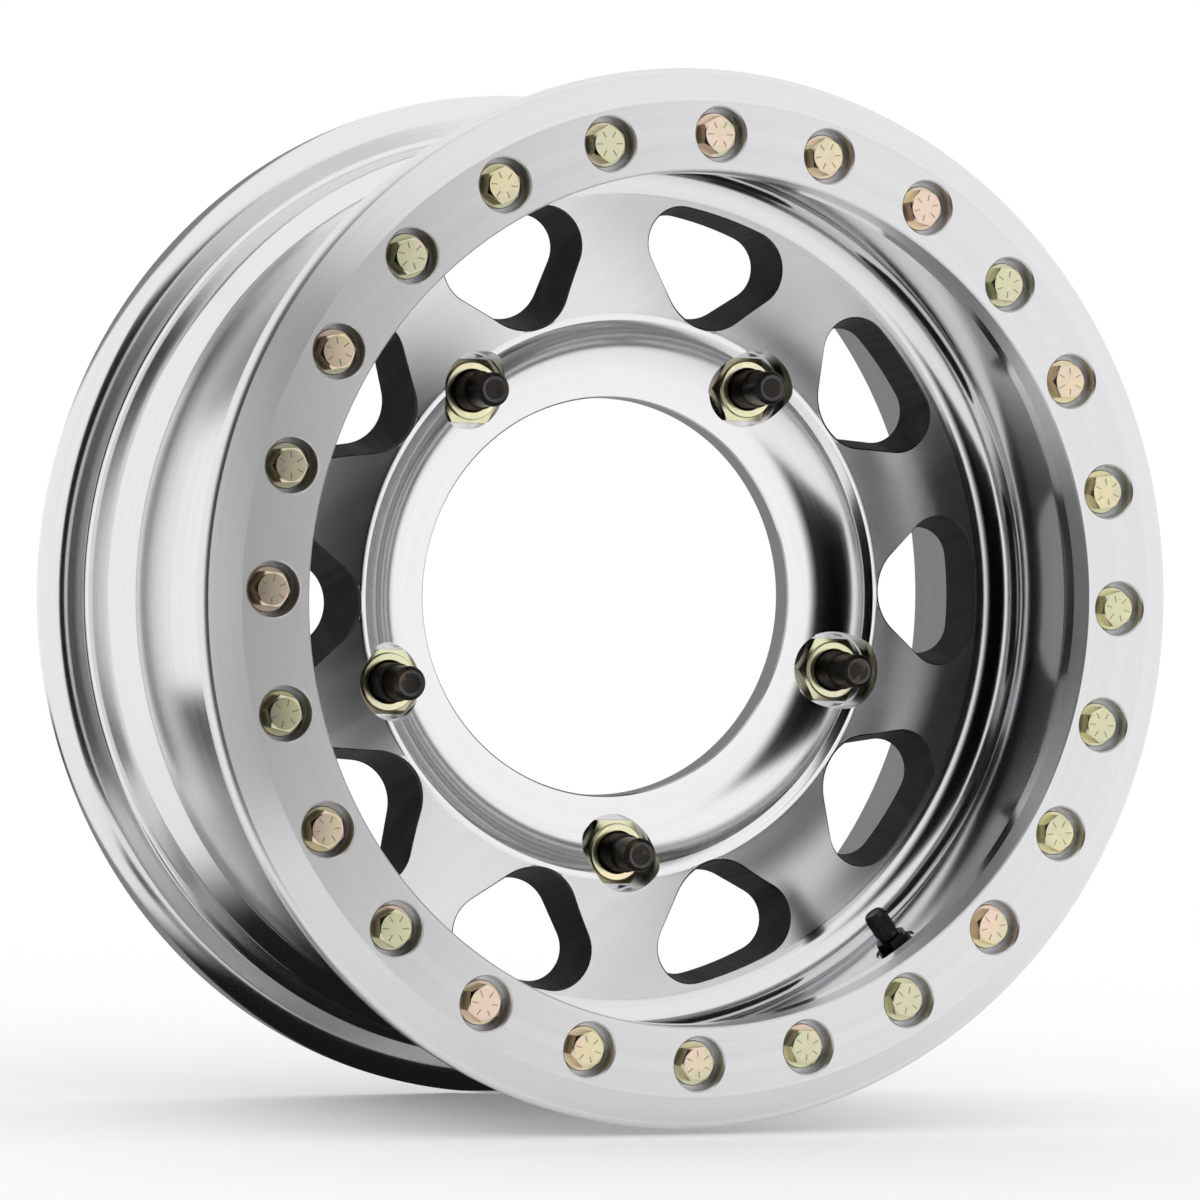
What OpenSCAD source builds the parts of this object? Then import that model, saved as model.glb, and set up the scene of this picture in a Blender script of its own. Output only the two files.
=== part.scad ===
// Beadlock wheel, millimetres.
// The wheel turns about +Y. The origin is the middle of the hub bore on the mounting face,
// the outer face of the wheel looks along -Y, and +Z points to the topmost clamp bolt.

/* [Rim] */
// Radius of the bead seats at their outer edges
bead_r = 190.1; // [185:0.1:200]
// Height of the rear flange above the bead seat
flange_h = 17.8; // [14:0.1:19]
// Radius of the rear flange's curl
curl_r = 9.5; // [8:0.1:11]
// Thickness of the rear flange
flange_t = 6.3; // [5:0.1:7]
// From the mounting face forward to the front of the clamp ring
front_reach = 109.9; // [100:0.1:120]
// From the mounting face back to the edge of the rear flange
back_space = 89.6; // [80:0.1:110]
// Width of each bead seat
seat_w = 18; // [15:0.1:22]
// Depth of the barrel's well below the bead seat
well_depth = 8.6; // [7:0.1:11]
// Thickness of the barrel wall
wall_t = 6.5; // [5:0.1:8]

/* [Clamp ring] */
// Inner radius of the clamp ring
ring_in_r = 165.4; // [163:0.1:167]
// Outer radius of the clamp ring
ring_out_r = 205.7; // [201:0.1:210]
// Thickness of the clamp ring
ring_t = 14.1; // [12.5:0.1:16]
// Radius where the ring's flat face ends and its bevel starts
ring_land_r = 192.4; // [191:0.1:196]
// Depth of the ring's outer bevel
bevel_depth = 8; // [5:0.1:9]
// Radius of the spigot that centres the ring
register_r = 170; // [168.5:0.1:171]
// Height of that spigot
register_h = 2.5; // [1.5:0.1:3.5]

/* [Clamp bolts] */
// Number of clamp bolts
bolt_count = 24; // [12:1:32]
// Radius of the clamp bolt circle
bolt_circle_r = 179.7; // [179:0.1:181]
// Diameter of the bolts
bolt_d = 7.94; // [6:0.01:8.5]
// Length of the bolts under the head
bolt_len = 22.2; // [20:0.1:24]
// Size of the hexagon across its flats
bolt_af = 12.7; // [11:0.1:13]
// Height of the bolt heads
bolt_head_h = 5.4; // [4:0.1:6]
// Outer diameter of the washers
washer_d = 17.5; // [16:0.1:19]
// Thickness of the washers
washer_t = 1.6; // [1:0.1:2]
// Diameter of the ring's counterbores
counterbore_d = 21; // [19.8:0.1:22]
// Depth of the ring's counterbores
counterbore_depth = 8; // [7:0.1:9]
// Outer diameter of the thread inserts
insert_d = 10; // [9.2:0.1:10.6]
// Length of the thread inserts
insert_len = 12; // [10:0.1:13]

/* [Disc and windows] */
// From the mounting face forward to the face of the spokes at the barrel
spoke_face = 22.7; // [22:0.1:26]
// How far the spokes' face sweeps forward from there to the hub
spoke_rise = 4.7; // [3:0.1:5.5]
// Thickness of the disc through the spokes
disc_t = 21.2; // [17:0.1:22]
// Number of windows
window_count = 10; // [6:1:10]
// Turn of the windows, lugs and valve from the topmost bolt, clockwise from the front
clocking = -2.3; // [-9:0.1:9]
// Radius of the outer edge of the windows
window_out_r = 159.2; // [156:0.1:160]
// Radius of the inner tip of the windows
window_in_r = 114.3; // [114.2:0.1:120]
// Radius of the inner tip's rounding
window_tip_r = 20; // [10:0.1:22]
// Radius of the two outer corners
window_corner_r = 15; // [10:0.1:15.5]
// Half the width of a window
window_half_w = 30.2; // [25:0.1:31.5]
// Draft of the windows' sides and tips
window_draft = 4.3; // [2:0.1:6]
// Draft of the windows' outer walls
window_out_draft = 1.7; // [0.5:0.1:4]
// Radius of the fillets between disc and barrel
disc_fillet_r = 14; // [8:0.5:15]

/* [Hub] */
// Radius of the hub bore
bore_r = 80; // [76:0.1:82]
// Thickness of the hub at the bore
hub_t = 11.5; // [9:0.1:13]
// Outer radius of the hub's raised lip
lip_r = 112.5; // [111:0.1:113.5]
// Width of the flat top of that lip
lip_w = 1.7; // [1:0.1:4]
// Height of the lip above the spokes' face at the barrel
lip_h = 4.9; // [2.5:0.1:6]
// Radius of the mounting pad
pad_r = 115; // [112:0.1:115.8]

/* [Lug bolting] */
// Number of studs
lug_count = 5; // [5:5:10]
// Diameter of the stud circle
lug_pcd = 205; // [203:0.1:207]
// Diameter of the studs
stud_d = 15.88; // [14:0.01:16]
// How far the studs stand out of the mounting face
stud_out = 22; // [15:0.5:30]
// From the mounting face forward to the studs' tips
stud_reach = 41.2; // [38:0.1:45]
// Diameter of the studs' unthreaded nose
nose_d = 13.6; // [12:0.1:14]
// Length of the nose
nose_len = 13; // [8:0.5:15]
// Size of the nuts across their flats
nut_af = 25.4; // [24:0.1:26]
// Height of the nuts' hexagon
nut_hex_h = 7.5; // [6.5:0.1:9]
// Diameter of the round face on the nuts
nut_face_d = 23.3; // [22:0.1:24]
// Diameter of the pockets at the nuts
pocket_d = 31.2; // [30.9:0.1:35]
// Diameter of the pockets' deeper step
pocket_step_d = 30.4; // [29.8:0.1:30.8]
// Thickness of the hub under a pocket
pocket_floor = 8.9; // [7.5:0.1:10]
// Diameter of the clearance hole for a stud
stud_hole_d = 16.8; // [16.4:0.1:17.5]

/* [Valve] */
// From the mounting face forward to the valve
valve_reach = 59.9; // [56:0.1:64]
// Diameter of the valve hole
valve_hole_d = 11.5; // [10.5:0.1:12.5]
// Diameter of the valve stem's shank
stem_d = 8; // [7.6:0.1:8.2]
// Diameter of the valve cap
cap_d = 9.3; // [9.1:0.1:11]
// Length of the valve cap
cap_len = 12; // [11:0.1:13]
// Size of the valve nut across its flats
valve_nut_af = 12; // [11:0.1:13]
// Thickness of the valve nut
valve_nut_t = 4; // [3:0.1:5]

/* [Hidden] */
$fn = 96;

// Clearances and small chamfers
slip = 0.03;
hole_room = 0.4;
cut = 1;
edge = 0.6;
small_edge = 0.3;

// Places along the axis, front negative
ring_face_y = -front_reach;
seat_y = ring_face_y + ring_t;
floor_y = ring_face_y + counterbore_depth;
head_y = floor_y - washer_t;
insert_sink = 0.5;
insert_y = seat_y + insert_sink;
spoke_y = -spoke_face;
lip_y = spoke_y - lip_h;
disc_back_y = spoke_y + disc_t;
hub_y = -hub_t;
lip_back_y = back_space;

// Barrel
taper = tan(5);
seat_drop = seat_w * taper;
well_r = bead_r - well_depth;
inner_r = well_r - wall_t;
flange_r = bead_r + flange_h;
curl_y = lip_back_y - 3.9;
curl_c = [flange_r - curl_r, curl_y];
flange_face_y = curl_y - curl_r;
seat_root_y = flange_face_y - 2.6;
seat_front_y = seat_root_y - seat_w;
rear_slope = 13;
front_slope = 11;
// Where the barrel's inside narrows to the ring, behind the ring's seat, and how its ends are eased
neck_front = 3.8;
neck_back = 24;
neck_front_ease = 1.4;
neck_back_ease = [0.8, 3];

// Windows
window_step = 360 / window_count;
corner_x = window_half_w - window_corner_r;
corner_z = sqrt(pow(window_out_r - window_corner_r, 2) - corner_x * corner_x);
corner_at = atan2(corner_z, corner_x);
tip_z = window_in_r + window_tip_r;
// Direction in which the straight side of a window faces
side_angle = asin((window_tip_r - window_corner_r) / norm([corner_x, corner_z - tip_z]))
    - atan2(corner_x, corner_z - tip_z);

// Half width, outer and inner radius of a window at depth t, 0 at the spokes' face and 1 at the back
function window_w(t) = window_half_w - window_draft * t;
function window_out(t) = window_out_r - window_out_draft * t;
function window_in(t) = window_in_r + window_draft * t;

// The bowl between bore and lip, a hollow arc in the profile
lip_bevel_w = 2.6;
lip_bevel_h = 2.1;
bowl_r = 30;
bowl_from = 6;
bowl_to = 57;
bowl_c = [lip_r - lip_w - lip_bevel_w - bowl_r * sin(bowl_to), lip_y + lip_bevel_h - bowl_r * cos(bowl_to)];

// The spokes' face starts beside the lip and ends at the fillet to the barrel
face_from = lip_r + 0.7;
face_to = inner_r - disc_fillet_r;
face_steps = 8;

// Clamp bolting
bolt_hole_depth = 16.5;
bolt_end = 1;
insert_gap = 0.3;
// Each head stops at its own angle
head_turn = 37;
head_land_inset = 0.25;
head_chamfer_h = 1;
head_chamfer_angle = 30;

// Lug bolting
lug_r = lug_pcd / 2;
pocket_y = -pocket_floor;
pocket_step_h = 4.6;
step_y = pocket_y - pocket_step_h;
nut_seat_inset = 0.7;
nut_seat_r = nut_af / 2 - nut_seat_inset;
nut_seat_angle = 30;
cone_len = (nut_seat_r - stud_hole_d / 2) / tan(nut_seat_angle);
nut_collar_h = 1.5;
nut_chamfer_h = 1.4;
nut_chamfer_angle = 25;
countersink_h = 1.1;
stud_tip_chamfer = 1.6;
stud_nose_cone = 1.2;
stud_end_chamfer = 1.5;
// Room between the nut's cone and its seat
seat_room = 0.15;
// The thread at the nut is cut a little under the stud's shank
stud_thread_r = stud_d / 2 - 0.2;
nut_top_y = pocket_y - nut_hex_h - nut_collar_h;

// Valve, measured outwards from the wheel's axis
valve_at = clocking + window_step * 4;
spot_depth = 0.6;
spot_in = inner_r + spot_depth;
spot_out = well_r - spot_depth;
spot_in_r = 9;
spot_out_r = 10.5;
spot_run = 4;
grommet_t = 2;
grommet_r = 9.2;
grommet_taper = 0.4;
valve_washer_t = 1;
valve_washer_r = 7.4;
washer_in = spot_in - valve_washer_t;
nut_in = washer_in - valve_nut_t;
cap_gap = 0.4;
cap_mouth = nut_in - cap_gap;
cap_top = cap_mouth - cap_len;
cap_wall = 1.5;
cap_seal_t = 0.8;
cap_seal_in_r = 1.6;
cap_end_h = 0.8;
cap_end_inset = 0.75;
stem_end = cap_top + cap_wall + cap_seal_t;
thread_r = stem_d / 2 - 0.15;
head_out = spot_out + grommet_t;
stem_head_t = 2.5;
stem_head_r = 8.5;
stem_head_chamfer = 0.8;
stem_bore_r = 2;
stem_end_chamfer = 0.6;
core_room = 3;
core_r = 2.6;
core_start = stem_end + 1;
core_len = 11.2;
core_end = core_start + core_len;
guide_len = 2;
groove_at = 6;
groove_w = 1.2;
groove_depth = 0.5;
chamber_r = 1.75;
outlet_r = 1.05;
pin_r = 0.6;
collar_r = 1.5;
collar_t = 0.6;
collar_gap = 0.1;
spring_start = core_start + guide_len + collar_gap + collar_t;
spring_seat_t = 1.5;
spring_end = core_end - spring_seat_t;
pin_out = 0.5;
spring_wire_r = 0.2;
spring_r = 1.15;
spring_turns = 6;
plunger_r = 1.6;
plunger_t = 1.2;
plunger_seal_t = 0.6;
plunger_end = core_end + plunger_seal_t;
plunger_taper = 0.3;
knurl_count = 24;
knurl_r = 0.35;
knurl_from = 2;
knurl_len = 8;

// Points of an arc in a profile
function arc(centre, r, from, to, steps) =
    [for (i = [0:steps]) let (a = from + (to - from) * i / steps) centre + r * [cos(a), sin(a)]];

// A turned solid from points [radius, place along the wheel's axis]
module turned(points) {
    rotate([-90, 0, 0]) rotate_extrude($fn = 180) polygon(points);
}

// Copies around the wheel's axis, the first one turned clockwise from the top
module around(count, first = 0) {
    for (i = [0:count - 1]) rotate([0, first + i * 360 / count, 0]) children();
}

// A cylinder along the wheel's axis, between two places
module along(from, to, r1, r2) {
    translate([0, from, 0]) rotate([-90, 0, 0]) cylinder(h = to - from, r1 = r1, r2 = r2);
}

// A cylinder that points outwards from the wheel's axis, between two radii
module outwards(from, to, r1, r2) {
    translate([0, 0, from]) cylinder(h = to - from, r1 = r1, r2 = r2);
}

module at_valve() {
    rotate([0, valve_at, 0]) translate([0, -valve_reach, 0]) children();
}

// Wheel: one turned forging with its windows and holes milled
function barrel_outside() = concat(
    [[ring_in_r, seat_y - register_h], [register_r, seat_y - register_h], [register_r, seat_y],
     [bead_r - 1.6, seat_y], [bead_r, seat_y + 2]],
    [[bead_r - seat_drop, seat_y + 2 + seat_w],
     [bead_r - seat_drop - 1.6, seat_y + 4 + seat_w],
     [well_r + 0.8, seat_y + 2 + seat_w + front_slope - 1],
     [well_r, seat_y + 4 + seat_w + front_slope],
     [well_r, seat_front_y - rear_slope - 1],
     [well_r + 0.8, seat_front_y - rear_slope + 1],
     [bead_r - seat_drop - 0.9, seat_front_y - 1.2], [bead_r - seat_drop, seat_front_y + 0.6],
     [bead_r, seat_root_y]],
    arc([bead_r + 2.4, seat_root_y + 0.1], 2.5, 180, 90, 4),
    arc(curl_c, curl_r, -90, 0, 8),
    [[flange_r, lip_back_y - 1.8], [flange_r - 1.2, lip_back_y - 0.3],
     [flange_r - flange_t + 1.2, lip_back_y], [flange_r - flange_t, lip_back_y - 1]]);

function barrel_inside() = concat(
    arc(curl_c, curl_r - flange_t, 0, -90, 5),
    arc([bead_r - wall_t + 6, flange_face_y + flange_t - 6], 6, 90, 180, 5),
    [[inner_r + well_depth - seat_drop - 0.4, seat_front_y + 1],
     [inner_r + well_depth - seat_drop - 1.6, seat_front_y - 1],
     [inner_r + 0.8, seat_front_y - rear_slope + 1], [inner_r, seat_front_y - rear_slope - 1]],
    arc([inner_r - disc_fillet_r + 4, disc_back_y + disc_fillet_r - 4], disc_fillet_r - 4, 0, -90, 6));

function disc_and_front() = concat(
    [[pad_r + 3, disc_back_y], [pad_r, 0], [bore_r + edge, 0], [bore_r, -edge], [bore_r, hub_y + edge],
     [bore_r + edge, hub_y]],
    arc(bowl_c, bowl_r, 90 - bowl_from, 90 - bowl_to, 9),
    [[lip_r - lip_w, lip_y], [lip_r, lip_y]],
    [for (i = [0:face_steps - 1]) let (t = i / face_steps)
        [face_from + (face_to - face_from) * t, spoke_y - spoke_rise * pow(1 - t, 2)]],
    arc([face_to, spoke_y - disc_fillet_r], disc_fillet_r, 90, 0, 8),
    [[inner_r, seat_y + neck_back], [inner_r - neck_back_ease[0], seat_y + neck_back - neck_back_ease[1]],
     [ring_in_r + neck_front_ease, seat_y + neck_front + neck_front_ease],
     [ring_in_r, seat_y + neck_front]]);

module window_outline() {
    polygon(concat(
        arc([0, 0], window_out_r, 180 - corner_at, corner_at, 4),
        arc([corner_x, corner_z], window_corner_r, corner_at, side_angle, 7),
        arc([0, tip_z], window_tip_r, side_angle, -180 - side_angle, 8),
        arc([-corner_x, corner_z], window_corner_r, 180 - side_angle, 180 - corner_at, 7)));
}

// Each window narrows from front to back by its drafts
module window_cut() {
    front = -(lip_h + cut) / disc_t;
    back = (disc_t + cut) / disc_t;
    high = window_out(back) - window_in(back);
    fit = [window_w(back) / window_half_w, high / (window_out_r - window_in_r)];
    grow = [window_w(front) / window_w(back), (window_out(front) - window_in(front)) / high];
    // Radius that the growth towards the front leaves in place
    still = (grow[1] * window_out(back) - window_out(front)) / (grow[1] - 1);
    translate([0, disc_back_y + cut, still]) rotate([90, 0, 0])
        linear_extrude(height = disc_t + lip_h + 2 * cut, slices = 1, scale = grow)
            translate([0, window_out(back) - still - fit[1] * window_out_r])
                scale(fit) window_outline();
}

module wheel() {
    color("silver") difference() {
        turned(concat(barrel_outside(), barrel_inside(), disc_and_front()));
        around(window_count, clocking + window_step / 2) window_cut();
        around(lug_count, clocking + window_step) translate([0, 0, lug_r]) lug_pocket();
        around(bolt_count) translate([0, 0, bolt_circle_r]) insert_hole();
        at_valve() valve_hole();
    }
}

module lug_pocket() {
    along(lip_y - cut, step_y, pocket_d / 2, pocket_d / 2);
    along(step_y - cut, pocket_y, pocket_step_d / 2, pocket_step_d / 2);
    along(pocket_y, pocket_y + cone_len, nut_seat_r, stud_hole_d / 2);
    along(pocket_y, cut, stud_hole_d / 2, stud_hole_d / 2);
}

module insert_hole() {
    along(seat_y - cut, insert_y + insert_len + insert_gap, insert_d / 2 + slip, insert_d / 2 + slip);
    along(seat_y, seat_y + bolt_hole_depth, bolt_d / 2 + hole_room, bolt_d / 2 + hole_room);
}

module valve_hole() {
    outwards(inner_r - spot_run, well_r + spot_run, valve_hole_d / 2, valve_hole_d / 2);
    outwards(inner_r - spot_run, spot_in, spot_in_r, spot_in_r);
    outwards(spot_out, well_r + spot_run, spot_out_r, spot_out_r);
}

// Clamp ring
module beadlock_ring() {
    color("gainsboro") difference() {
        turned(concat(
            [[ring_in_r, ring_face_y + edge], [ring_in_r + edge, ring_face_y], [ring_land_r, ring_face_y]],
            [[ring_out_r - 3, ring_face_y + bevel_depth]],
            arc([ring_out_r - 3.6, ring_face_y + bevel_depth + 3.6], 3.6, -75, 0, 5),
            [[ring_out_r, seat_y - edge], [ring_out_r - edge, seat_y], [register_r + hole_room, seat_y],
             [register_r + hole_room, seat_y - register_h], [ring_in_r, seat_y - register_h]]));
        around(bolt_count) translate([0, 0, bolt_circle_r]) bolt_seat();
    }
}

module bolt_seat() {
    along(ring_face_y - cut, floor_y, counterbore_d / 2, counterbore_d / 2);
    along(floor_y - cut, seat_y + cut, bolt_d / 2 + hole_room, bolt_d / 2 + hole_room);
    translate([0, ring_face_y, 0]) along(-small_edge, small_edge,
        counterbore_d / 2 + 2 * small_edge, counterbore_d / 2);
}

// Clamp bolts: hex head with a chamfered top, plain shank for the fine thread
module beadlock_bolts() {
    color("darkkhaki") for (i = [0:bolt_count - 1])
        rotate([0, i * 360 / bolt_count, 0]) translate([0, 0, bolt_circle_r])
            rotate([0, i * head_turn, 0]) beadlock_bolt();
}

module beadlock_bolt() {
    top = head_y - bolt_head_h;
    intersection() {
        translate([0, top, 0]) rotate([-90, 0, 0])
            cylinder(h = bolt_head_h, r = bolt_af / sqrt(3), $fn = 6);
        union() {
            along(top, top + head_chamfer_h, bolt_af / 2 - head_land_inset,
                  bolt_af / 2 - head_land_inset + head_chamfer_h / tan(head_chamfer_angle));
            along(top + head_chamfer_h, head_y, bolt_af, bolt_af);
        }
    }
    along(head_y, head_y + bolt_len - bolt_end, bolt_d / 2, bolt_d / 2);
    along(head_y + bolt_len - bolt_end, head_y + bolt_len, bolt_d / 2, bolt_d / 2 - bolt_end);
}

module beadlock_washers() {
    color("khaki") around(bolt_count) translate([0, 0, bolt_circle_r]) difference() {
        along(head_y, floor_y, washer_d / 2, washer_d / 2);
        along(head_y - cut, floor_y + cut, bolt_d / 2 + hole_room, bolt_d / 2 + hole_room);
    }
}

// Steel inserts that carry the thread in the soft forging
module thread_inserts() {
    color("slategray") around(bolt_count) translate([0, 0, bolt_circle_r]) difference() {
        along(insert_y, insert_y + insert_len, insert_d / 2, insert_d / 2);
        along(insert_y - cut, insert_y + insert_len + cut, bolt_d / 2 + slip, bolt_d / 2 + slip);
    }
}

module lug_studs() {
    nose_y = nose_len - stud_reach;
    thread_y = nose_y + stud_nose_cone;
    color("#2a2826") around(lug_count, clocking + window_step) translate([0, 0, lug_r]) {
        along(-stud_reach, stud_tip_chamfer - stud_reach, nose_d / 2 - stud_tip_chamfer, nose_d / 2);
        along(stud_tip_chamfer - stud_reach, nose_y, nose_d / 2, nose_d / 2);
        along(nose_y, thread_y, nose_d / 2, stud_thread_r);
        along(thread_y, 0, stud_thread_r, stud_thread_r);
        along(0, stud_out - stud_end_chamfer, stud_d / 2, stud_d / 2);
        along(stud_out - stud_end_chamfer, stud_out, stud_d / 2, stud_d / 2 - stud_end_chamfer);
    }
}

// Lug nuts with a round raised face and a 60 degree conical seat, all with two flats level
module lug_nuts() {
    color("khaki") for (i = [0:lug_count - 1]) {
        a = clocking + window_step + i * 360 / lug_count;
        translate([lug_r * sin(a), 0, lug_r * cos(a)]) lug_nut();
    }
}

module lug_nut() {
    hex_y = nut_top_y + nut_collar_h;
    difference() {
        union() {
            along(nut_top_y, hex_y, nut_face_d / 2 - edge, nut_face_d / 2);
            intersection() {
                translate([0, hex_y, 0]) rotate([-90, 0, 0])
                    cylinder(h = nut_hex_h - slip, r = nut_af / sqrt(3), $fn = 6);
                union() {
                    along(hex_y, hex_y + nut_chamfer_h, nut_face_d / 2,
                          nut_face_d / 2 + nut_chamfer_h / tan(nut_chamfer_angle));
                    along(hex_y + nut_chamfer_h, pocket_y, nut_af, nut_af);
                }
            }
            along(pocket_y - slip, pocket_y + cone_len - 2 * slip, nut_seat_r - seat_room,
                  stud_hole_d / 2 - seat_room);
        }
        along(nut_top_y - cut, cut, stud_thread_r + slip, stud_thread_r + slip);
        along(nut_top_y - cut, nut_top_y + countersink_h, stud_thread_r + 2, stud_thread_r - 0.1);
    }
}

// Valve
module valve_stem() {
    color("#202020") at_valve() difference() {
        union() {
            outwards(stem_end, stem_end + stem_end_chamfer, thread_r - stem_end_chamfer, thread_r);
            outwards(stem_end + stem_end_chamfer, cap_mouth, thread_r, thread_r);
            outwards(cap_mouth, head_out, stem_d / 2, stem_d / 2);
            outwards(head_out, head_out + stem_head_t - stem_head_chamfer, stem_head_r, stem_head_r);
            outwards(head_out + stem_head_t - stem_head_chamfer, head_out + stem_head_t, stem_head_r,
                     stem_head_r - stem_head_chamfer);
        }
        outwards(stem_end - cut, core_end + core_room, core_r, core_r);
        outwards(core_end, head_out + stem_head_t + cut, stem_bore_r, stem_bore_r);
    }
}

module valve_grommet() {
    color("#151515") at_valve() difference() {
        union() {
            outwards(spot_out, head_out, grommet_r, grommet_r - grommet_taper);
            outwards(spot_in + 0.1, spot_out, valve_hole_d / 2 - slip, valve_hole_d / 2 - slip);
        }
        outwards(spot_in - cut, head_out + cut, stem_d / 2 + slip, stem_d / 2 + slip);
    }
}

module valve_washer() {
    color("#303030") at_valve() difference() {
        outwards(washer_in, spot_in, valve_washer_r, valve_washer_r);
        outwards(washer_in - cut, spot_in + cut, stem_d / 2 + slip, stem_d / 2 + slip);
    }
}

module valve_nut() {
    color("#242424") at_valve() difference() {
        intersection() {
            translate([0, 0, nut_in]) cylinder(h = valve_nut_t, r = valve_nut_af / sqrt(3), $fn = 6);
            union() {
                outwards(nut_in, nut_in + 0.8, valve_nut_af / 2, valve_nut_af / 2 + 0.8 / tan(30));
                outwards(nut_in + 0.8, washer_in, valve_nut_af, valve_nut_af);
            }
        }
        outwards(nut_in - cut, washer_in + cut, stem_d / 2 + slip, stem_d / 2 + slip);
    }
}

module valve_core_body() {
    color("goldenrod") at_valve() difference() {
        outwards(core_start, core_end, core_r - slip, core_r - slip);
        outwards(core_start - cut, core_start + guide_len + cut, pin_r + slip, pin_r + slip);
        outwards(core_start + guide_len, spring_end, chamber_r, chamber_r);
        outwards(spring_end - cut, core_end + cut, outlet_r, outlet_r);
        translate([0, 0, core_start + groove_at]) seal_groove();
    }
}

module seal_groove() {
    difference() {
        cylinder(h = groove_w, r = core_r + cut);
        translate([0, 0, -cut]) cylinder(h = groove_w + 2 * cut, r = core_r - groove_depth);
    }
}

module valve_core_seal() {
    color("firebrick") at_valve() translate([0, 0, core_start + groove_at]) difference() {
        cylinder(h = groove_w, r = core_r - slip);
        translate([0, 0, -cut]) cylinder(h = groove_w + 2 * cut, r = core_r - groove_depth);
    }
}

module valve_core_pin() {
    color("gold") at_valve() {
        outwards(core_start - pin_out, plunger_end, pin_r, pin_r);
        outwards(core_start + guide_len + collar_gap, spring_start, collar_r, collar_r);
        outwards(plunger_end, plunger_end + plunger_t, plunger_r, plunger_r - plunger_taper);
    }
}

module valve_plunger_seal() {
    color("#181818") at_valve() difference() {
        outwards(core_end + slip, plunger_end, plunger_r, plunger_r);
        outwards(core_end - cut, plunger_end + cut, pin_r + slip, pin_r + slip);
    }
}

// Coil spring: a six-sided wire swept along a helix
module valve_core_spring() {
    sides = 6;
    per_turn = 10;
    rings = spring_turns * per_turn;
    rise = spring_end - spring_start - 2 * spring_wire_r - 2 * slip;
    points = [for (i = [0:rings]) let (a = 360 * i / per_turn)
        for (j = [0:sides - 1]) let (b = 360 * j / sides, r = spring_r + spring_wire_r * cos(b))
            [r * cos(a), r * sin(a), spring_start + spring_wire_r + slip + rise * i / rings
                + spring_wire_r * sin(b)]];
    walls = [for (i = [0:rings - 1]) for (j = [0:sides - 1]) let (k = (j + 1) % sides)
        [i * sides + j, i * sides + k, (i + 1) * sides + k, (i + 1) * sides + j]];
    ends = [[for (j = [sides - 1:-1:0]) j], [for (j = [0:sides - 1]) rings * sides + j]];
    color("lightgray") at_valve() polyhedron(points, concat(walls, ends));
}

module valve_cap() {
    color("#121212") at_valve() difference() {
        union() {
            outwards(cap_top, cap_top + cap_end_h, cap_d / 2 - knurl_r - cap_end_inset, cap_d / 2 - knurl_r);
            outwards(cap_top + cap_end_h, cap_mouth, cap_d / 2 - knurl_r, cap_d / 2 - knurl_r);
            for (i = [0:knurl_count - 1]) rotate([0, 0, i * 360 / knurl_count])
                translate([cap_d / 2 - knurl_r, 0, cap_top + knurl_from])
                    cylinder(h = knurl_len, r = knurl_r, $fn = 16);
        }
        outwards(cap_top + cap_wall, cap_mouth + cut, thread_r + slip, thread_r + slip);
    }
}

module valve_cap_seal() {
    color("#3a1512") at_valve() difference() {
        outwards(cap_top + cap_wall, stem_end, thread_r - 0.1, thread_r - 0.1);
        outwards(cap_top + cap_wall - cut, stem_end + cut, cap_seal_in_r, cap_seal_in_r);
    }
}

wheel();
beadlock_ring();
beadlock_bolts();
beadlock_washers();
thread_inserts();
lug_studs();
lug_nuts();
valve_stem();
valve_grommet();
valve_washer();
valve_nut();
valve_core_body();
valve_core_seal();
valve_core_pin();
valve_plunger_seal();
valve_core_spring();
valve_cap();
valve_cap_seal();
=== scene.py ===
# %% [markdown]
# A beadlock wheel in machined aluminium.
# The real wheel is one forging, turned on a lathe and then milled. A ring bolted to its front
# clamps the tyre, five nuts on studs hold it to a hub, and a short valve stands in the barrel.
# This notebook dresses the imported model: it keeps every size and place and gives each piece
# the smooth curves, threads, small chamfers and finishes that one sees in a close photograph.

import math

import bmesh
import bpy
from mathutils import Matrix, Vector


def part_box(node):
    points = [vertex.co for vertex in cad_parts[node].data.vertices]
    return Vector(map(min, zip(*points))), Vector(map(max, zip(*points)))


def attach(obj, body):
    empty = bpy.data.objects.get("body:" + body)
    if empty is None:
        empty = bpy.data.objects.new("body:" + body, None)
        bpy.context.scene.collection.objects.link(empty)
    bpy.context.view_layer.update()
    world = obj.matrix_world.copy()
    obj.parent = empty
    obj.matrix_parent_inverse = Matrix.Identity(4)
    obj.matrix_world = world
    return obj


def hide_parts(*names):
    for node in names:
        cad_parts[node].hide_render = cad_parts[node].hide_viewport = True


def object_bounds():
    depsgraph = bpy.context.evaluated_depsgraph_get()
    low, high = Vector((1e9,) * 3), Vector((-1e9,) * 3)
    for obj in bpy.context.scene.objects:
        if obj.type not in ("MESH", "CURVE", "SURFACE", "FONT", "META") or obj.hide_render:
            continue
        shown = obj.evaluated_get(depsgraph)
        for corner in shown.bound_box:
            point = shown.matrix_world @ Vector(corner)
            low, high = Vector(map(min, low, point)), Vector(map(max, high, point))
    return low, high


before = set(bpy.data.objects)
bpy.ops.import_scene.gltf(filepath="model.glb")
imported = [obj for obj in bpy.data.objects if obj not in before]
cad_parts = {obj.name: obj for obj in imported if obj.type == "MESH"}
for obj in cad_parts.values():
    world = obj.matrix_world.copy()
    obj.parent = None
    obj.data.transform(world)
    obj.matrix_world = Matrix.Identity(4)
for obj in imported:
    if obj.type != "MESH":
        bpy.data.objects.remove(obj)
cad_low, cad_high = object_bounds()
mm = 0.001
print("the frame's box in metres", list(cad_low), list(cad_high))

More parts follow.
